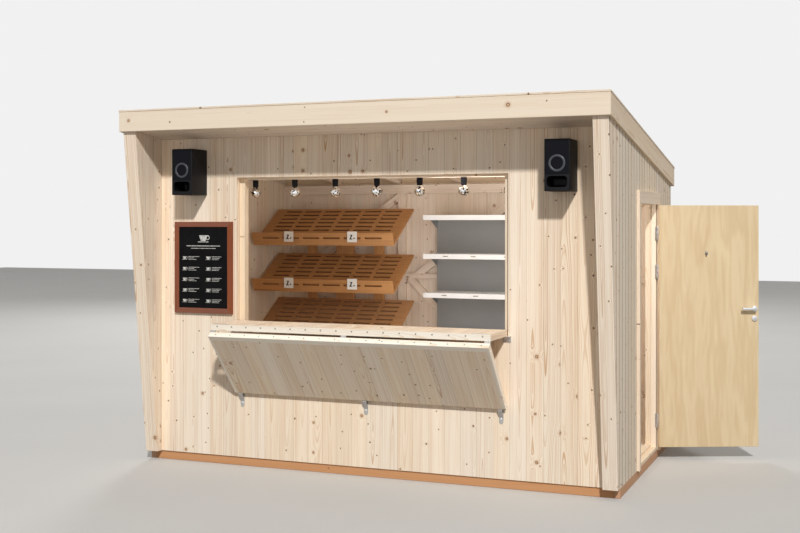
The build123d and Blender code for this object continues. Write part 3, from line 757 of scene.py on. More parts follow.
    def cut(self, tool: "Piece") -> "Piece":
        """Cut a tool's shape out of the piece and throw the tool away.

        Args:
            tool: The piece that is the tool.

        Returns:
            The piece.
        """
        self.modify("BOOLEAN", operation="DIFFERENCE", solver="EXACT", object=tool.thing)
        bpy.data.objects.remove(tool.thing)
        return self

    def row(self, count: int, step: Point) -> "Piece":
        """Repeat the piece, up to a count, each copy one step further."""
        fixed = {"use_relative_offset": False, "use_constant_offset": True}
        return self.modify("ARRAY", count=count, constant_offset_displace=step, **fixed)

    def copies(self, places: Iterable[Matrix]) -> "Piece":
        """Copy the piece to several places and join the copies under its name.

        Args:
            places: Where the copies stand, with the piece modelled about the origin.

        Returns:
            The joined piece.
        """
        name, twins = self.thing.name, []
        for place in places:
            twins.append(Piece.of_mesh("twin", self.mesh))
            twins[-1].mesh.transform(place)
        bpy.data.objects.remove(self.thing)
        return Piece.join(name, twins)

    def turn(self, angle: float, axis: Axis, origin: Point) -> "Piece":
        """Turn the piece about the frame's origin, and carry that to a new origin."""
        self.mesh.transform(Matrix.Translation(origin) @ Matrix.Rotation(angle, 4, axis.name))
        return self

    def squeeze(
        self, middle: Point, factors: Point, part: Callable[[Vector], bool] = lambda at: True
    ) -> "Piece":
        """Draw the points of a part towards a middle.

        Args:
            middle: The place that they are drawn towards.
            factors: What is left of their distance from it in each direction.
            part: Tells from a point's place whether it belongs to the part.

        Returns:
            The piece.
        """
        for vertex in self.mesh.vertices:
            if part(vertex.co):
                vertex.co = [m + (c - m) * f for m, c, f in zip(middle, vertex.co, factors)]
        return self

    def smooth(self, angle: float = 35.0) -> "Piece":
        """Shade the piece smooth where its faces meet at less than an angle.

        Args:
            angle: The angle in degrees.

        Returns:
            The piece.
        """
        self.take()
        bpy.ops.object.shade_smooth_by_angle(angle=math.radians(angle))
        return self

    def paint_recess_shade(self, shade: Callable[[Face], float]) -> "Piece":
        """Store each face's painted shade, darkness that stands in for the shadow in a groove or a
        slot.

        Args:
            shade: Tells how much painted shade a face gets, from 0 to 1.

        Returns:
            The piece.
        """
        painted_shade = self.mesh.attributes.new("rim", "FLOAT", "FACE")
        for face, value in zip(self.mesh.polygons, painted_shade.data):
            value.value = shade(face)
        return self

    def loose_parts(self) -> np.ndarray:
        """Find which points hang together.

        Returns:
            For every point, the number of a point that stands for its loose part.
        """
        parent = list(range(len(self.mesh.vertices)))

        def root(index: int) -> int:
            """Find the point that stands for a point's loose part so far.

            Args:
                index: The point's number.

            Returns:
                The number of the point that stands for its part.
            """
            while parent[index] != index:
                parent[index] = parent[parent[index]]
                index = parent[index]
            return index

        for edge in self.mesh.edges:
            a, b = edge.vertices
            parent[root(a)] = root(b)
        return np.array([root(i) for i in range(len(parent))])

    def lay_grain(self) -> None:
        """Store each loose part's own length, width and depth coordinates and a chance number."""
        count = len(self.mesh.vertices)
        points = np.empty(count * 3, np.float32)
        self.mesh.vertices.foreach_get("co", points)
        points = points.reshape(-1, 3).astype(float)
        parts = self.loose_parts()
        chance = random.Random(zlib.crc32(self.thing.name.encode()))
        grain = np.zeros((count, 3), np.float32)
        board = np.zeros(count, np.float32)
        for part in dict.fromkeys(parts.tolist()):
            inside = parts == part
            own = points[inside]
            own = own - (own.max(0) + own.min(0)) / 2
            _, vectors = np.linalg.eigh(np.cov(own.T) + np.eye(3) * 1e-12)
            axes = vectors[:, ::-1].T
            for row in axes:
                main = np.argmax(np.abs(row))
                if abs(row[main]) > math.cos(math.radians(4.0)):
                    row[:] = np.eye(3)[main]
                elif row[main] < 0:
                    row *= -1
            grain[inside] = own @ axes.T
            board[inside] = chance.random()
        new = self.mesh.attributes.new
        new("grain", "FLOAT_VECTOR", "POINT").data.foreach_set("vector", grain.ravel())
        new("board", "FLOAT", "POINT").data.foreach_set("value", board)

    def hand_over(self, finish: Finish, *stands_for: str, body: Body = Body.STALL) -> None:
        """Give the finished piece its finish and its body, and hide the CAD nodes that it stands
        for.

        Args:
            finish: What it is finished with.
            *stands_for: The CAD nodes that it replaces.
            body: The body that it rides on.
        """
        piece = self.thing
        if isinstance(finish, (WoodFinish, PlyFinish)):
            self.lay_grain()
        if finish.name not in Piece.materials:
            Piece.materials[finish.name] = finish.material()
        self.mesh.materials.clear()
        self.mesh.materials.append(Piece.materials[finish.name])
        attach(piece, body.value)
        if stands_for:
            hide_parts(*stands_for)
        log.info("%s: %d faces", piece.name, len(self.mesh.polygons))


@dataclass(frozen=True)
class Boarding:
    """Boards laid side by side, with a planed groove where each two boards meet.

    outside is the side with the full groove, -1 or 1, or 0 where both have it. A shade, from
    0 to 1, is how much painted shade darkens the groove's faces, for the shadow that lies in it.
    """

    run: Axis = Axis.Z
    lay: Axis = Axis.X
    pitch: float = FRONT_PITCH
    start: float = FRONT_START
    groove: float = 0.0020
    shade: float = 0.22
    outside: int = 0
    inner_groove: float = 0.0012
    inner_shade: float = 0.25

    def fill(self, name: str, low: Point, high: Point) -> Piece:
        """Fill a box with boards.

        Args:
            name: The piece's name.
            low: The box's lowest corner.
            high: The box's highest corner.

        Returns:
            The boards as one piece.
        """
        run, across = self.run.value, self.lay.value
        through = 3 - across - run
        skipped = math.floor((low[across] - self.start) / self.pitch + TINY)
        first = self.start + skipped * self.pitch
        count = math.ceil((high[across] - first) / self.pitch - TINY)
        near, far = list(low), list(high)
        near[across], far[across] = first, first + self.pitch
        piece = Piece.block(name, near, far)
        level = (low[through] + high[through]) / 2
        outer = self.outside or -1
        inner_groove = self.inner_groove if self.outside else self.groove
        for side, size in ((outer, self.groove), (-outer, inner_groove)):
            piece.select_edges(
                lambda a, b: abs((b - a)[run]) > TINY and (a[through] - level) * side > 0
            ).work(
                bpy.ops.mesh.bevel, offset=size, offset_type="OFFSET", segments=1, affect="EDGES"
            )

        def shade(face: Face) -> float:
            """Find how much painted shade a face gets from the way that it faces.

            Args:
                face: The face.

            Returns:
                How dark it looks, from 0 to 1.
            """
            if not 0.3 < abs(face.normal[across]) < 0.95:
                return 0.0
            return self.shade if face.normal[through] * self.outside >= 0 else self.inner_shade

        way = Vector((0.0, 0.0, 0.0))
        way[across] = 1.0
        piece.paint_recess_shade(shade).row(count, way * self.pitch)
        if first + count * self.pitch > high[across] + TINY:
            piece.slice_off(high, way)
        if first < low[across] - TINY:
            piece.slice_off(low, -way)
        return piece


# Side boards: wide grooves with deep painted shade in them
SIDE_BOARDING = Boarding(
    lay=Axis.Y, pitch=SIDE_PITCH, start=SIDE_START, groove=0.006, shade=0.8
)


@dataclass
class Timbers:
    """Plain timbers and fittings that keep the shape of their CAD nodes, with eased edges."""

    body: Body = Body.STALL
    easing: float = 0.002
    smooth: bool = False

    def dress(self, finish: Finish, *nodes: str) -> None:
        """Make the eased pieces.

        Args:
            finish: What they are finished with.
            *nodes: The CAD nodes that they stand for.
        """
        for node in nodes:
            piece = Piece.of_node(node + "_eased", node).bevel(self.easing)
            if self.smooth:
                piece.smooth()
            piece.hand_over(finish, node, body=self.body)


@dataclass
class BoardedWalls:
    """The walls, boarded upright, with the roof's slope along their tops."""

    wall_front: float = -1.080
    wall_drop: float = 0.129
    wing_front: float = -1.143
    wing_width: float = 0.105
    # The wings' inner grooves and the painted shade in them
    wing_groove: float = 0.0025
    wing_shade: float = 0.45
    rake: float = math.radians(6.95)
    facing: float = 0.022
    easing: float = 0.002

    def under_roof(self, piece: Piece) -> Piece:
        """Cut a piece off at the roof's slope and return it."""
        top = (0.0, self.wall_front, roof_height(self.wall_front) - self.wall_drop)
        return piece.slice_off(top, ROOF_NORMAL)

    def panel(self, node: str, boarding: Boarding, finish: Finish) -> None:
        """Board the wall panel that stands for a CAD node."""
        boards = boarding.fill(node + "_boards", *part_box(node))
        self.under_roof(boards).hand_over(finish, node)

    def wings(self) -> None:
        """Board the two wings and put a facing board on their leaning front edges."""
        low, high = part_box("wings")
        foot = Vector((0.0, self.wing_front, low[2]))
        lean = Vector((0.0, -math.cos(self.rake), -math.sin(self.rake)))
        behind = foot - lean * self.facing
        sides, facings = [], []
        for side, left in ((-1, low[0]), (1, high[0] - self.wing_width)):
            near, far = (left, low[1], low[2]), (left + self.wing_width, high[1], high[2])
            boarding = replace(
                SIDE_BOARDING, outside=side,
                inner_groove=self.wing_groove, inner_shade=self.wing_shade,
            )
            boards = boarding.fill("wing", near, far).slice_off(behind, lean)
            sides.append(self.under_roof(boards))
            board = Piece.block("facing", near, far).slice_off(foot, lean).slice_off(behind, -lean)
            facings.append(self.under_roof(board).bevel(self.easing))
        Piece.join("wing_boards", sides).hand_over(PINE, "wings")
        Piece.join("wing_facings", facings).hand_over(PINE)

    def build(self) -> None:
        """Board all the walls."""
        for part in ("left", "right", "upper", "lower"):
            self.panel("front_wall_" + part, Boarding(outside=-1), PINE)
        for node in ("left_wall", "right_wall_front", "right_wall_rear", "right_wall_upper"):
            outside = -1 if node == "left_wall" else 1
            self.panel(node, replace(SIDE_BOARDING, outside=outside), PINE_SIDE)
        self.panel("rear_wall", Boarding(outside=1), PINE_INSIDE)
        self.wings()


@dataclass
class Roof:
    """The roof: rafters, deck boards, felt with laps, an edge strip and the fascias."""

    deck_pitch: float = 0.12
    soffit_pitch: float = 0.095
    groove: float = 0.002
    strip: float = 0.045
    pocket_edge: float = 0.002
    pocket: float = 0.004
    play: float = 0.003
    sheet: float = 0.9
    lap: float = 0.09
    felt_foot: float = -0.006
    felt_top: float = -0.0042
    lap_rise: float = 0.0015
    overlength: float = 0.02
    strip_easing: float = 0.0015
    felt_easing: float = 0.001
    easing: float = 0.0025

    def felt(self) -> None:
        """Make the felt, its laps and the strip around its edge, all inside the cover's own box."""
        cover = Piece.of_node("roof_edge_strip", "roof_cover")
        top = max(cover.mesh.polygons, key=lambda face: face.normal.z * face.area).index
        cover.select_faces(lambda face: face.index == top)
        cover.inset((self.strip, 0.0), (self.pocket_edge, -self.pocket))
        cover.bevel(self.strip_easing, 1)
        cover.hand_over(PINE_TRIM, "roof_cover")
        low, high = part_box("roof_cover")
        wide = (high[0] - low[0]) / 2 - self.strip - self.play
        deep = (high[1] - low[1]) / math.cos(ROOF_PITCH) / 2 - self.strip - self.play
        sheets: list[Piece] = []
        edge = -wide
        while edge < wide:
            end = min(edge + self.sheet + self.lap, wide)
            rise = self.felt_top + self.lap_rise * (1 + len(sheets) % 2)
            near, far = (edge, -deep, self.felt_foot), (end, deep, rise)
            sheets.append(Piece.block("felt", near, far))
            edge += self.sheet
        middle = (low[1] + high[1]) / 2
        felt = Piece.join("roof_felt_sheets", sheets).bevel(self.felt_easing, 1)
        felt.turn(-ROOF_PITCH, Axis.X, (0.0, middle, roof_height(middle))).hand_over(FELT)

    def boards(self, node: str, pitch: float) -> None:
        """Board a sheet at the roof's slope, with boards that run from side to side.

        Args:
            node: The CAD node that it stands for.
            pitch: The distance from one board to the next.
        """
        low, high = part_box(node)
        deep = high[1] - low[1]
        thick = (high[2] - low[2] - deep * math.tan(ROOF_PITCH)) * math.cos(ROOF_PITCH)
        near = (low[0], -self.overlength, -thick)
        far = (high[0], deep / math.cos(ROOF_PITCH) + self.overlength, 0.0)
        boarding = Boarding(Axis.X, Axis.Y, pitch, 0.0, self.groove)
        sheet = boarding.fill(node + "_boards", near, far)
        sheet.turn(-ROOF_PITCH, Axis.X, (0.0, low[1], high[2]))
        sheet.slice_off(low, (0, -1, 0)).slice_off(high, (0, 1, 0))
        sheet.hand_over(PINE_INSIDE, node)

    def build(self) -> None:
        """Make the roof."""
        self.felt()
        self.boards("roof_deck", self.deck_pitch)
        self.boards("soffit", self.soffit_pitch)
        Timbers(easing=self.easing).dress(PINE_TRIM, "end_fascias", "side_fascias")
        Timbers(easing=self.easing).dress(PINE_INSIDE, "rafters")


@dataclass
class ServingHatch:
    """The counter shelf and its support flap, boarded, with battens along their edges."""

    half: float = 1.075
    batten: float = 0.022
    easing: float = 0.002
    seam: float = 0.0012
    screw_pitch: float = 0.12
    screw_radius: float = 0.0055
    screw_rise: float = 0.0012
    screw_sides: int = 14
    screw_rim: float = 0.4
    screw_wall: float = 0.0006
    screw_recess: float = 0.0008
    screw_drop: float = 0.015
    flap_batten: float = 0.040
    flap_seam: float = 0.00192
    flap_near: float = 0.003
    flap_far: float = 0.612
    flap_top: float = -0.006
    flap_bottom: float = -0.051
    flap_screws: float = 0.8
    strap_length: float = 0.125
    strap_width: float = 0.026
    strap_sides: float = 0.015
    strap_front: float = 0.006
    strap_rise: float = 0.0012
    strap_sink: float = 0.001
    strap_easing: float = 0.0006
    dimples: tuple[float, ...] = (-0.7, -0.25, 0.25, 0.7)
    dimple_radius: float = 0.004
    dimple_depth: float = 0.001
    bracket_half: float = 0.0165
    bracket_foot: float = 0.013
    bracket_taper: float = 0.5
    bracket_easing: float = 0.0008
    bracket_screw: float = 0.034
    bracket_screw_radius: float = 0.008
    bracket_screw_height: float = 0.003
    bracket_screw_easing: float = 0.0012
    leaf_play: float = 0.0005

    def screws(self, name: str, places: Sequence[Matrix], body: Body, radius: float) -> None:
        """Put screw heads at places.

        Args:
            name: The piece's name.
            places: Each head's frame, with its axis along Z.
            body: The body that they ride on.
            radius: The heads' radius.
        """
        head = Piece.rod(name, (0, 0, 0), radius, self.screw_rise, self.screw_sides)
        head.select_faces(lambda face: face.normal.z > LEVEL)
        head.inset((radius * self.screw_rim, 0.0), (self.screw_wall, -self.screw_recess))
        head.copies(places).hand_over(DARK_SCREW, body=body)

    def screw_places(self) -> list[float]:
        """Return the screws' places along an edge."""
        count = int(2 * self.half / self.screw_pitch) + 1
        return [(i - (count - 1) / 2) * self.screw_pitch for i in range(count)]

    def counter(self) -> None:
        """Make the counter shelf: two layers of boards, an edge batten and its screws."""
        low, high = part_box("counter_shelf")
        middle = (low[2] + high[2]) / 2 - self.seam
        front = low[1] + self.batten
        boarding = Boarding(Axis.Y, Axis.X, groove=self.seam)
        upper = boarding.fill("upper", (low[0], front, middle), high)
        lower = boarding.fill("lower", (low[0], front, low[2]), (high[0], high[1], middle))
        boards = Piece.join("counter_boards", [upper, lower])
        boards.hand_over(PINE, "counter_shelf", body=Body.COUNTER)
        edge = Piece.block("counter_edge", low, (high[0], front, high[2]))
        edge.bevel(self.easing).hand_over(PINE_EDGE, body=Body.COUNTER)
        height = high[2] - self.screw_drop
        places = [Matrix.Translation((x, low[1], height)) @ TO_FRONT for x in self.screw_places()]
        self.screws("counter_screws", places, Body.COUNTER, self.screw_radius)

    def straps(self) -> None:
        """Make the two steel straps on the counter's top, each with a row of dimples."""
        low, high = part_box("counter_shelf")
        near, reach = low[1] + self.strap_front, self.strap_length / 2
        top = high[2] + self.strap_rise
        straps = []
        for side in (-1, 1):
            x = side * (self.half - self.strap_sides - reach)
            strap = Piece.block(
                "strap",
                (x - reach, near, high[2] - self.strap_sink),
                (x + reach, near + self.strap_width, top),
            ).bevel(self.strap_easing)
            for share in self.dimples:
                place = (x + share * reach, near + self.strap_width / 2, top)
                depth = 2 * self.dimple_depth
                strap.cut(Piece.rod("dimple", place, self.dimple_radius, depth, 16))
            straps.append(strap)
        Piece.join("counter_straps", straps).hand_over(ZINC, body=Body.COUNTER)

    def flap(self) -> None:
        """Make the support flap in its own plane and turn it to its slope."""
        near, far, inner = self.flap_near, self.flap_far, self.half - self.batten
        first = near + self.flap_batten

        def box(left: float, start: float, right: float, end: float) -> tuple[Point, Point]:
            """Return the corners of a part that is as thick as the flap."""
            return (left, start, self.flap_bottom), (right, end, self.flap_top)

        boarding = Boarding(Axis.Y, Axis.X, groove=self.flap_seam)
        boards = boarding.fill("flap_boards", *box(-inner, first, inner, far))
        boards.turn(-FLAP_SLOPE, Axis.X, FLAP_AXIS).hand_over(PINE, "support_flap", body=Body.FLAP)
        sides = (
            (-self.half, near, self.half, first),
            (-self.half, first, -inner, far),
            (inner, first, self.half, far),
        )
        battens = [Piece.block("batten", *box(*side)).bevel(self.easing) for side in sides]
        edges = Piece.join("flap_edges", battens).turn(-FLAP_SLOPE, Axis.X, FLAP_AXIS)
        edges.hand_over(PINE_EDGE, body=Body.FLAP)
        turn = Matrix.Translation(FLAP_AXIS) @ Matrix.Rotation(-FLAP_SLOPE, 4, "X")
        depth = (self.flap_top + self.flap_bottom) / 2
        own = [Matrix.Translation((x, near, depth)) @ TO_FRONT for x in self.screw_places()]
        places = [turn @ place for place in own]
        self.screws("flap_screws", places, Body.FLAP, self.screw_radius * self.flap_screws)

    def brackets(self) -> None:
        """Shape the wall brackets: straight straps with a narrowed foot and a bright screw."""
        low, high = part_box("flap_brackets")
        foot, half = low[2] + self.bracket_foot, self.bracket_half
        centres = (low[0] + half, 0.0, high[0] - half)
        straps = Piece.of_node("flap_bracket_straps", "flap_brackets").select_all()
        straps.work(bpy.ops.mesh.bisect, plane_co=(0, 0, foot), plane_no=(0, 0, 1), threshold=TINY)
        for x in centres:
            straps.squeeze(
                (x, 0.0, 0.0),
                (self.bracket_taper, 1.0, 1.0),
                lambda at: at.z < low[2] + self.bracket_foot / 2 and abs(at.x - x) < 2 * half,
            )
        straps.bevel(self.bracket_easing).hand_over(PLATED, "flap_brackets")
        y, z = high[1] - self.bracket_screw_height, low[2] + self.bracket_screw
        heads = [Matrix.Translation((x, y, z)) @ TO_FRONT for x in centres]
        radius, height = self.bracket_screw_radius, self.bracket_screw_height
        head = Piece.rod("bracket_screws", (0, 0, 0.001), radius, height, 20)
        head.bevel(self.bracket_screw_easing, 3).smooth(50)
        head.copies(heads).hand_over(BRIGHT_SCREW)

    def hinge_leaves(self) -> None:
        """Make the counter's hinge leaves, thinned a little so that they clear the closed wall."""
        leaves = Piece.of_node("counter_hinge_leaves_eased", "counter_hinge_leaves")
        leaves.select_faces(lambda face: face.normal.z > 0.999)
        leaves.work(bpy.ops.transform.translate, value=(0, 0, -self.leaf_play))
        leaves.bevel(HINGE_EASING).smooth()
        leaves.hand_over(ZINC, "counter_hinge_leaves", body=Body.COUNTER)

    def build(self) -> None:
        """Make the hatch's moving leaves and its fittings."""
        self.counter()
        self.straps()
        self.flap()
        self.brackets()
        self.hinge_leaves()
        Timbers(Body.COUNTER, HINGE_EASING, True).dress(ZINC, "flap_hinge_plates")
        Timbers(Body.FLAP, HINGE_EASING, True).dress(ZINC, "flap_hinge_leaves")
        Timbers(Body.STALL, HINGE_EASING, True).dress(ZINC, "counter_hinge_plates")
        Timbers(easing=0.003).dress(PINE_TRIM, "hatch_posts", "hatch_rails")


@dataclass
class Door:
    """The open side door: a plywood inner sheet and boards outside, with its fittings."""

    near: float = 0.004
    width: float = 0.787
    height: float = 1.895
    face: float = -0.0065
    thickness: float = 0.040
    sheet: float = 0.012
    sheet_easing: float = 0.0015
    fitting_easing: float = 0.0012

    def build(self) -> None:
        """Make the door in its own plane, turn it open, and make its fittings and casing."""
        far, inner = self.near + self.width, self.face - self.thickness
        seam = inner + self.sheet
        sheet = Piece.block("door_sheet", (self.near, inner, 0.0), (far, seam, self.height))
        sheet.bevel(self.sheet_easing).turn(DOOR_TURN, Axis.Z, DOOR_AXIS)
        sheet.hand_over(PLY, "door_leaf", body=Body.DOOR)
        boarding = Boarding(pitch=SIDE_PITCH, start=self.near)
        boards = boarding.fill("door_boards", (self.near, seam, 0.0), (far, self.face, self.height))
        boards.turn(DOOR_TURN, Axis.Z, DOOR_AXIS).hand_over(PINE, body=Body.DOOR)
        Timbers(Body.DOOR, HINGE_EASING, True).dress(ZINC, "door_hinge_leaves")
        fittings = Timbers(Body.DOOR, self.fitting_easing, True)
        fittings.dress(ZINC, "door_handles")
        fittings.dress(DULL_STEEL, "coat_hook")
        Timbers(Body.STALL, HINGE_EASING, True).dress(ZINC, "door_hinge_plates")
        casing = ("door_casing_uprights", "door_casing_head", "door_stops", "threshold")
        Timbers().dress(PINE_TRIM, *casing)


@dataclass
class Lamps:
    """The row of lamps behind the hatch's head."""

    count: int = 7
    socket_radius: float = 0.023
    socket_easing: float = 0.0025
    taper: float = 0.92
    neck_radius: float = 0.016
    neck_start: float = 0.40
    neck_bend: float = 0.45

    def neck(self, radius: float, at: Vector) -> float:
        """Return how much wider a point of the bulb gets where the bulb draws in to its neck.

        Args:
            radius: The bulb's radius.
            at: The point's place on the round ball.

        Returns:
            The factor.
        """
        lift, wide = (at.z + radius) / radius, math.hypot(at.x, at.y)
        if lift <= self.neck_start or wide <= TINY:
            return 1.0
        share = (lift - self.neck_start) / (1 - self.neck_start)
        bent = self.neck_start + share * self.neck_bend
        round_width = math.sqrt(max(0.0, 1 - bent**2)) * radius
        goal = round_width * (1 - share) + self.neck_radius * share
        return max(self.neck_radius, goal) / wide

    def build(self) -> None:
        """Make the sockets and bulbs, each from one turned shape that is copied along the row."""
        low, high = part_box("lamp_sockets")
        height, first = high[2] - low[2], low[0] + self.socket_radius
        step = (high[0] - low[0] - 2 * self.socket_radius) / (self.count - 1)
        y = (low[1] + high[1]) / 2
        places = [Matrix.Translation((first + i * step, y, low[2])) for i in range(self.count)]
        middle = (0.0, 0.0, height / 2)
        socket = Piece.rod("lamp_socket_shells", middle, self.socket_radius, height, 48)
        socket.squeeze(middle, (self.taper, self.taper, 1.0), lambda at: at.z < height / 2)
        socket = socket.bevel(self.socket_easing, 3).smooth().copies(places)
        socket.hand_over(BLACK_CASE, "lamp_sockets")
        bulb_low, bulb_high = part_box("lamp_bulbs")
        radius = (bulb_high[1] - bulb_low[1]) / 2
        ball = {"segments": 48, "ring_count": 32, "radius": radius, "location": (0, 0, -radius)}
        bulb = Piece.add("lamp_bulb_shells", bpy.ops.mesh.primitive_uv_sphere_add, **ball)
        for vertex in bulb.mesh.vertices:
            factor = self.neck(radius, vertex.co)
            vertex.co.x *= factor
            vertex.co.y *= factor
        bulb.smooth(60).copies(places).hand_over(MIRROR, "lamp_bulbs")
        Timbers().dress(PINE_INSIDE, "lamp_board")


@dataclass
class BreadRacks:
    """Three sloping racks, whose sawn slots get painted shade inside, and the uprights behind them.
    """

    slope: float = math.atan(0.6421)
    lean: float = math.atan(40 / 113)
    slot_length: float = 0.165
    # How dark the painted shade inside the slots is
    slot_shade: float = 0.62
    lip_depth: float = 0.045
    edge: float = 0.002
    easing: float = 0.0012
    low: Point = field(init=False)
    high: Point = field(init=False)

    def __post_init__(self) -> None:
        """Read the racks' place from the frame."""
        self.low, self.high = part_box("bread_racks")

    def is_slot(self, piece: Piece, face: Face) -> bool:
        """Tell whether a face is the inside of a slot.

        Args:
            piece: The racks.
            face: The face.

        Returns:
            Whether it is.
        """
        across = [piece.mesh.vertices[i].co.x for i in face.vertices]
        if max(across) - min(across) > self.slot_length:
            return False
        middle, reach = (self.low[0] + self.high[0]) / 2, (self.high[0] - self.low[0]) / 2
        deck = Vector((0.0, math.cos(self.slope), math.sin(self.slope)))
        lip = Vector((0.0, -math.sin(self.lean), math.cos(self.lean)))
        inner = abs(face.center.x - middle) < reach - self.edge
        in_lip = face.center.y < self.low[1] + self.lip_depth
        upright = abs(face.normal.dot(lip)) if in_lip else 0.0
        return inner and max(abs(face.normal.x), abs(face.normal.dot(deck)), upright) > LEVEL

    def build(self) -> None:
        """Make the racks and paint shade into their slots, then the uprights."""
        racks = Piece.of_node("bread_racks_eased", "bread_racks").bevel(self.easing)
        racks.paint_recess_shade(lambda face: self.slot_shade if self.is_slot(racks, face) else 0.0)
        racks.hand_over(STAINED, "bread_racks")
        Timbers(easing=self.easing).dress(STAINED, "rack_uprights")


@dataclass
class PriceTags:
    """Plain cards that hang plumb from the racks' lips."""

    side: float = 0.093
    thickness: float = 0.002
    solid_rise: float = 0.0941
    easing: float = 0.0006
    ink: float = 0.0006
    ink_depth: float = 0.0004
    # Each mark's left, right, foot and head on the card, and how far its head slants
    marks: tuple[tuple[float, ...], ...] = (
        (-0.022, -0.010, 0.028, 0.064, 0.014),
        (-0.024, 0.004, 0.024, 0.031, 0.0),
        (-0.018, -0.002, 0.058, 0.065, 0.0),
        (0.012, 0.024, 0.028, 0.040, 0.003),
    )

    def build(self) -> None:
        """Make the cards and the plain marks on them."""
        low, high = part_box("price_tags")
        half, y = self.side / 2, low[1]
        step = (high[2] - low[2] - self.solid_rise) / 2
        cards, marks = [], []
        for top in (high[2] - 2 * step, high[2] - step, high[2]):
            foot = top - self.side
            for x in (low[0] + half, high[0] - half):
                near, far = (x - half, y, foot), (x + half, y + self.thickness, top)
                cards.append(Piece.block("card", near, far).bevel(self.easing))
                for left, right, start, end, slant in self.marks:
                    near = (x + left, y - self.ink, foot + start)
                    far = (x + right, y + self.ink_depth, foot + end)
                    mark = Piece.block("mark", near, far)
                    mark.select_faces(lambda face: face.normal.z > LEVEL)
                    marks.append(mark.work(bpy.ops.transform.translate, value=(slant, 0, 0)))
        Piece.join("price_cards", cards).hand_over(CARD, "price_tags")
        Piece.join("price_marks", marks).hand_over(INK)


@dataclass
class Speakers:
    """Two small speakers on the front wall, each with a cloth, a ring and a port."""

    half: float = 0.088
    setback: float = 0.006
    rounding: float = 0.006
    port_half: float = 0.071
    port_foot: float = 0.025
    port_head: float = 0.102
    port_depth: float = 0.15
    port_rounding: float = 0.026
    reach: float = 0.02
    rim: float = 0.006
    cloth_foot: float = 0.113
    cloth_play: float = 0.001
    cloth_easing: float = 0.002
    recess: float = 0.003
    ring_radius: float = 0.050
    ring_width: float = 0.0085
    ring_flat: float = 0.4
    ring_drop: float = 0.163
    dish_rim: float = 0.012
    dish_front: float = 0.004

    def one(self, x: float) -> tuple[Piece, Piece, Piece]:
        """Model one speaker.

        Args:
            x: Its middle.

        Returns:
            The cabinet, the cloth and the ring.
        """
        low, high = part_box("speakers")
        front = low[1] + self.setback

        def box(name: str, half: float, foot: float, head: float, near: float, far: float) -> Piece:
            """Add a block about the middle, by its heights and its depths behind the front."""
            return Piece.block(name, (x - half, front + near, foot), (x + half, front + far, head))

        case = box("case", self.half, low[2], high[2], 0.0, high[1] - front)
        case.bevel(self.rounding, 4)
        foot, head = low[2] + self.port_foot, low[2] + self.port_head
        port = box("port", self.port_half, foot, head, -self.reach, self.port_depth)
        case.cut(port.bevel(self.port_rounding, 6))
        half, play = self.half - self.rim, self.cloth_play
        foot, head = low[2] + self.cloth_foot, high[2] - self.rim
        case.cut(box("recess", half, foot - play, head, -self.reach, self.recess)).smooth(40)
        cloth = box("cloth", half - play, foot, head - play, -play, self.recess)
        cloth.bevel(self.cloth_easing, 3)
        z = high[2] - self.ring_drop
        dish = (x, front - self.dish_front, z)
        radius = self.ring_radius - self.dish_rim
        cloth.cut(Piece.rod("dish", dish, radius, self.dish_rim, 48, QUARTER))
        centre, segments = (x, front - play, z), (64, 12)
        ring = Piece.hoop(centre, self.ring_radius, self.ring_width, segments, self.ring_flat)
        return case, cloth, ring.smooth(60)

    def build(self) -> None:
        """Make both speakers."""
        low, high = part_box("speakers")
        cases, cloths, rings = zip(self.one(low[0] + self.half), self.one(high[0] - self.half))
        Piece.join("speaker_cases", cases).hand_over(BLACK_CASE, "speakers")
        Piece.join("speaker_cloths", cloths).hand_over(BLACK_CLOTH)
        Piece.join("speaker_rings", rings).hand_over(GREY_RING)


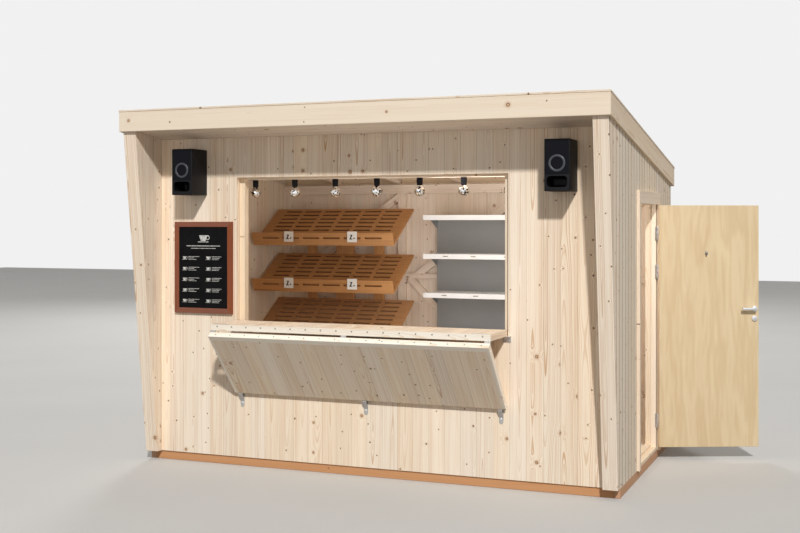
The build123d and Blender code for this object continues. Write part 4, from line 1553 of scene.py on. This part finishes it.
@dataclass
class MenuBoard:
    """A framed black board with plain chalk shapes that spell nothing."""

    bar_width: float = 0.040
    easing: float = 0.0015
    panel_easing: float = 0.0005
    lift: float = 0.0006
    root: float = 0.0005
    # A cup's parts as shares of its width
    bowl_height: float = 0.6
    bowl_foot: float = 0.55
    handle_reach: float = 0.52
    handle_rise: float = 0.36
    handle_radius: float = 0.2
    handle_width: float = 0.045
    saucer_half: float = 0.62
    saucer_foot: float = 0.12
    saucer_head: float = 0.04
    big_cup: float = 0.075
    big_cup_drop: float = 0.150
    line_drop: float = 0.190
    line_pitch: float = 0.018
    # Each line's width and height
    lines: tuple[tuple[float, float], ...] = ((0.30, 0.006), (0.22, 0.004))
    rows: int = 5
    small_cup: float = 0.034
    column: float = 0.105
    row_drop: float = 0.290
    row_pitch: float = 0.083
    cup_left: float = 0.062
    bar_left: float = 0.028
    bar_rise: float = 0.018
    bar_pitch: float = 0.011
    bar_height: float = 0.0035
    bar_lengths: tuple[float, ...] = (0.085, 0.060, 0.072)
    bar_short: float = 0.85
    bar_change: float = 0.15
    low: Point = field(init=False)
    high: Point = field(init=False)
    face: float = field(init=False)

    def __post_init__(self) -> None:
        """Read the board's place from the frame."""
        self.low, self.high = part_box("menu_frame")
        self.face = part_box("menu_panel")[0][1]

    def stroke(self, left: float, foot: float, right: float, head: float) -> Piece:
        """Draw a chalk stroke as a thin block on the panel, by its sides."""
        near = (left, self.face - self.lift, foot)
        return Piece.block("stroke", near, (right, self.face + self.root, head))

    def cup(self, x: float, z: float, size: float) -> list[Piece]:
        """Draw a plain cup with a handle and a saucer.

        Args:
            x: Its middle.
            z: Its foot.
            size: Its width.

        Returns:
            The strokes.
        """
        tall, half = size * self.bowl_height, size * self.saucer_half
        bowl = self.stroke(x - size / 2, z, x + size / 2, z + tall)
        bowl.squeeze((x, 0.0, 0.0), (self.bowl_foot, 1.0, 1.0), lambda at: at.z < z + tall / 2)
        centre = (x + size * self.handle_reach, self.face, z + size * self.handle_rise)
        radius, width = size * self.handle_radius, size * self.handle_width
        handle = Piece.hoop(centre, radius, width, (20, 6), self.lift / width)
        foot, head = z - size * self.saucer_foot, z - size * self.saucer_head
        return [bowl, handle, self.stroke(x - half, foot, x + half, head)]

    def bar(self, upright: bool, side: int) -> Piece:
        """Make one mitred bar of the frame.

        Args:
            upright: Whether it stands, or else lies.
            side: Which of the two it is, -1 for left or foot and 1 for right or head.

        Returns:
            The bar.
        """
        near, far = list(self.low), list(self.high)
        across = 0 if upright else 2
        if side < 0:
            far[across] = near[across] + self.bar_width
        else:
            near[across] = far[across] - self.bar_width
        piece = Piece.block("bar", near, far)
        mitre = math.sqrt(0.5) * (1 if upright else -1)
        for end in (-1, 1):
            sx, sz = (side, end) if upright else (end, side)
            corner = (self.low[0] if sx < 0 else self.high[0], 0.0)
            corner += (self.low[2] if sz < 0 else self.high[2],)
            piece.slice_off(corner, (-sx * mitre, 0.0, sz * mitre))
        return piece.bevel(self.easing)

    def chalk(self) -> list[Piece]:
        """Draw a large cup over two lines, and ten small cups with three bars each.

        Returns:
            The strokes.
        """
        middle, top = (self.low[0] + self.high[0]) / 2, self.high[2]
        strokes = self.cup(middle, top - self.big_cup_drop, self.big_cup)
        for k, (width, height) in enumerate(self.lines):
            z = top - self.line_drop - k * self.line_pitch
            strokes.append(self.stroke(middle - width / 2, z, middle + width / 2, z + height))
        for row in range(self.rows):
            z = top - self.row_drop - row * self.row_pitch
            for column in (-1, 1):
                x = middle + column * self.column
                strokes.extend(self.cup(x - self.cup_left, z, self.small_cup))
                left = x - self.bar_left
                for k, length in enumerate(self.bar_lengths):
                    step = (row * 3 + k + column) % 3
                    wide = length * (self.bar_short + self.bar_change * step)
                    foot = z + self.bar_rise - k * self.bar_pitch
                    strokes.append(self.stroke(left, foot, left + wide, foot + self.bar_height))
        return strokes

    def build(self) -> None:
        """Make the panel, the frame and the chalk shapes."""
        Timbers(easing=self.panel_easing).dress(BLACK_BOARD, "menu_panel")
        bars = [self.bar(upright, side) for upright in (True, False) for side in (-1, 1)]
        Piece.join("menu_frame_bars", bars).hand_over(MENU_WOOD, "menu_frame")
        Piece.join("menu_chalk", self.chalk()).hand_over(CHALK)


@dataclass
class ShelfUnit:
    """The white steel shelf unit against the rear wall."""

    rim: float = 0.002
    wall: float = 0.0005
    hollow: float = 0.032
    easing: float = 0.0012
    frame_easing: float = 0.0008
    ticket_half: float = 0.036
    ticket_foot: float = 0.033
    ticket_head: float = 0.007
    ticket_lift: float = 0.0006
    ticket_root: float = 0.001
    ticket_easing: float = 0.0004
    bar_half: float = 0.022
    bar_foot: float = 0.024
    bar_head: float = 0.016
    bar_lift: float = 0.0009
    bar_easing: float = 0.0003
    # The height of each ticketed shelf, and its tickets' places as shares of its length
    tickets: tuple[tuple[float, tuple[float, ...]], ...] = (
        (1.588, (0.18, 0.40, 0.66, 0.90)),
        (1.251, (0.17, 0.42, 0.68, 0.91)),
    )

    def label(self) -> None:
        """Put plain tickets with a pale grey bar on the fronts of the two middle shelves."""
        low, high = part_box("unit_shelves")
        y = low[1]
        cards, bars = [], []
        for top, shares in self.tickets:
            for share in shares:
                x = low[0] + (high[0] - low[0]) * share
                near = (x - self.ticket_half, y - self.ticket_lift, top - self.ticket_foot)
                far = (x + self.ticket_half, y + self.ticket_root, top - self.ticket_head)
                cards.append(Piece.block("ticket", near, far).bevel(self.ticket_easing))
                near = (x - self.bar_half, y - self.bar_lift, top - self.bar_foot)
                far = (x + self.bar_half, y, top - self.bar_head)
                bars.append(Piece.block("bar", near, far).bevel(self.bar_easing))
        Piece.join("shelf_tickets", cards).hand_over(CARD)
        Piece.join("shelf_ticket_bars", bars).hand_over(PALE_INK)

    def build(self) -> None:
        """Make the shelves, hollow from below, the frame around them and the tickets."""
        trays = Piece.of_node("unit_shelf_trays", "unit_shelves")
        trays.select_faces(lambda face: face.normal.z < -LEVEL)
        trays.inset((self.rim, 0.0), (self.wall, -self.hollow), each=True).bevel(self.easing)
        trays.hand_over(WHITE_STEEL, "unit_shelves")
        steel = Timbers(easing=self.frame_easing)
        steel.dress(GREY_STEEL, "unit_back", "unit_uprights", "unit_brackets")
        self.label()


@dataclass(frozen=True)
class SoftLight:
    """A soft square studio light; mirrored tells whether shiny pieces show its reflection."""

    name: str
    place: Point
    goal: Point
    size: float
    power: float
    mirrored: bool = True

    def hang(self) -> None:
        """Hang the light at its place and point it at its goal."""
        data = bpy.data.lights.new(self.name, "AREA")
        data.shape = "SQUARE"
        data.size = self.size
        data.energy = self.power
        light = bpy.data.objects.new(self.name, data)
        bpy.context.scene.collection.objects.link(light)
        light.location = self.place
        way = Vector(self.goal) - Vector(self.place)
        light.rotation_euler = way.to_track_quat("-Z", "Y").to_euler()
        light.visible_camera = False
        light.visible_glossy = self.mirrored


@dataclass
class Studio:
    """The plain floor, the soft lights and the camera at the photograph's angle."""

    image_width: float = 800.0
    focal_pixels: float = 1163.9
    horizon_rise: float = 43.76
    eye: Point = (3.416, -8.886, 1.8585)
    look: float = math.radians(21.97)
    floor_size: float = 60.0
    floor_drop: float = 0.0005
    floor_tone: str = "7E7C79"
    world_light: float = 0.29
    world_seen: float = 0.88
    lights: tuple[SoftLight, ...] = (
        SoftLight("key_lamp", (18.9, -38.0, 33.6), (0.0, -1.0, 1.2), 2.6, 22500.0),
        SoftLight("front_lamp", (1.2, -10.0, 2.6), (0.0, 0.0, 1.4), 3.0, 40.0),
        SoftLight("hatch_lamp", (0.85, -0.90, 1.95), (0.85, 1.0, 2.10), 0.8, 12.0, False),
        SoftLight("inside_lamp", (0.2, -0.55, 1.15), (0.2, 0.45, 2.6), 1.2, 9.5, False),
        SoftLight("back_lamp", (-7.0, 14.0, 9.0), (0.0, 1.0, 1.2), 4.0, 800.0),
    )

    def backdrop(self) -> None:
        """Lay the floor and set the world, both pale to look at and darker as a light."""
        plane, place = bpy.ops.mesh.primitive_plane_add, (0, 0, -self.floor_drop)
        floor = Piece.add("studio_floor", plane, size=self.floor_size, location=place).thing
        floor.data.materials.append(bpy.data.materials.new("studio_floor"))
        paint = Shader(floor.data.materials[0], "Principled BSDF")
        shown = paint.mix(paint.noise(paint.place(), 0.6), "D0CECA", "C8C6C2")
        paint.give("Base Color", paint.mix(paint.seen(), self.floor_tone, shown))
        paint.give("Roughness", 0.85)
        floor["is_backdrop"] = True
        world = bpy.data.worlds.new("studio_world")
        bpy.context.scene.world = world
        sky = Shader(world, "Background")
        sky.give("Color", "FFFFFF")
        level = sky.ramp(sky.seen(), 0.0, 1.0, self.world_light, self.world_seen)
        sky.give("Strength", level)

    def build(self) -> None:
        """Set up the stage."""
        self.backdrop()
        for light in self.lights:
            light.hang()
        data = bpy.data.cameras.new("photo_camera")
        data.sensor_width = 36.0
        data.lens = self.focal_pixels / self.image_width * data.sensor_width
        data.shift_y = -self.horizon_rise / self.image_width
        data.clip_end = 200.0
        camera = bpy.data.objects.new("photo_camera", data)
        bpy.context.scene.collection.objects.link(camera)
        camera.location = self.eye
        camera.rotation_euler = (QUARTER, 0.0, self.look)
        bpy.context.scene.camera = camera
        bpy.context.scene.view_settings.view_transform = "Standard"


def write_size(name: str, corners: Sequence[Sequence[float]]) -> list[list[float]]:
    """Log a box's corners and turn them into plain lists.

    Args:
        name: The box's name in the log.
        corners: Its lowest and its highest corner.

    Returns:
        The corners as lists.
    """
    plain = [[float(value) for value in corner] for corner in corners]
    log.info("%s %s", name, plain)
    return plain


def main() -> None:
    """Build the whole stall in order."""
    logging.basicConfig(level=logging.INFO, format="%(name)s %(message)s")
    cad_box = write_size("CAD box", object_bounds())
    Studio().build()
    bearers = ("end_bearers", "side_bearers", "middle_bearers")
    Timbers(easing=0.003).dress(TREATED, *bearers)
    floor = Boarding(Axis.X, Axis.Y, groove=0.001).fill("floor_boards", *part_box("floor"))
    floor.hand_over(PINE_INSIDE, "floor")
    BoardedWalls().build()
    Roof().build()
    ServingHatch().build()
    Door().build()
    framing = ("rear_posts", "rear_rail", "rear_middle_rails", "rear_braces")
    Timbers().dress(PINE_INSIDE, *framing)
    for assembly in (Lamps, Speakers, MenuBoard, BreadRacks, PriceTags, ShelfUnit):
        assembly().build()
    bpy.context.view_layer.update()
    sizes = {"cad": cad_box, "visual": write_size("visual box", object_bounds())}


if __name__ == "__main__":
    main()
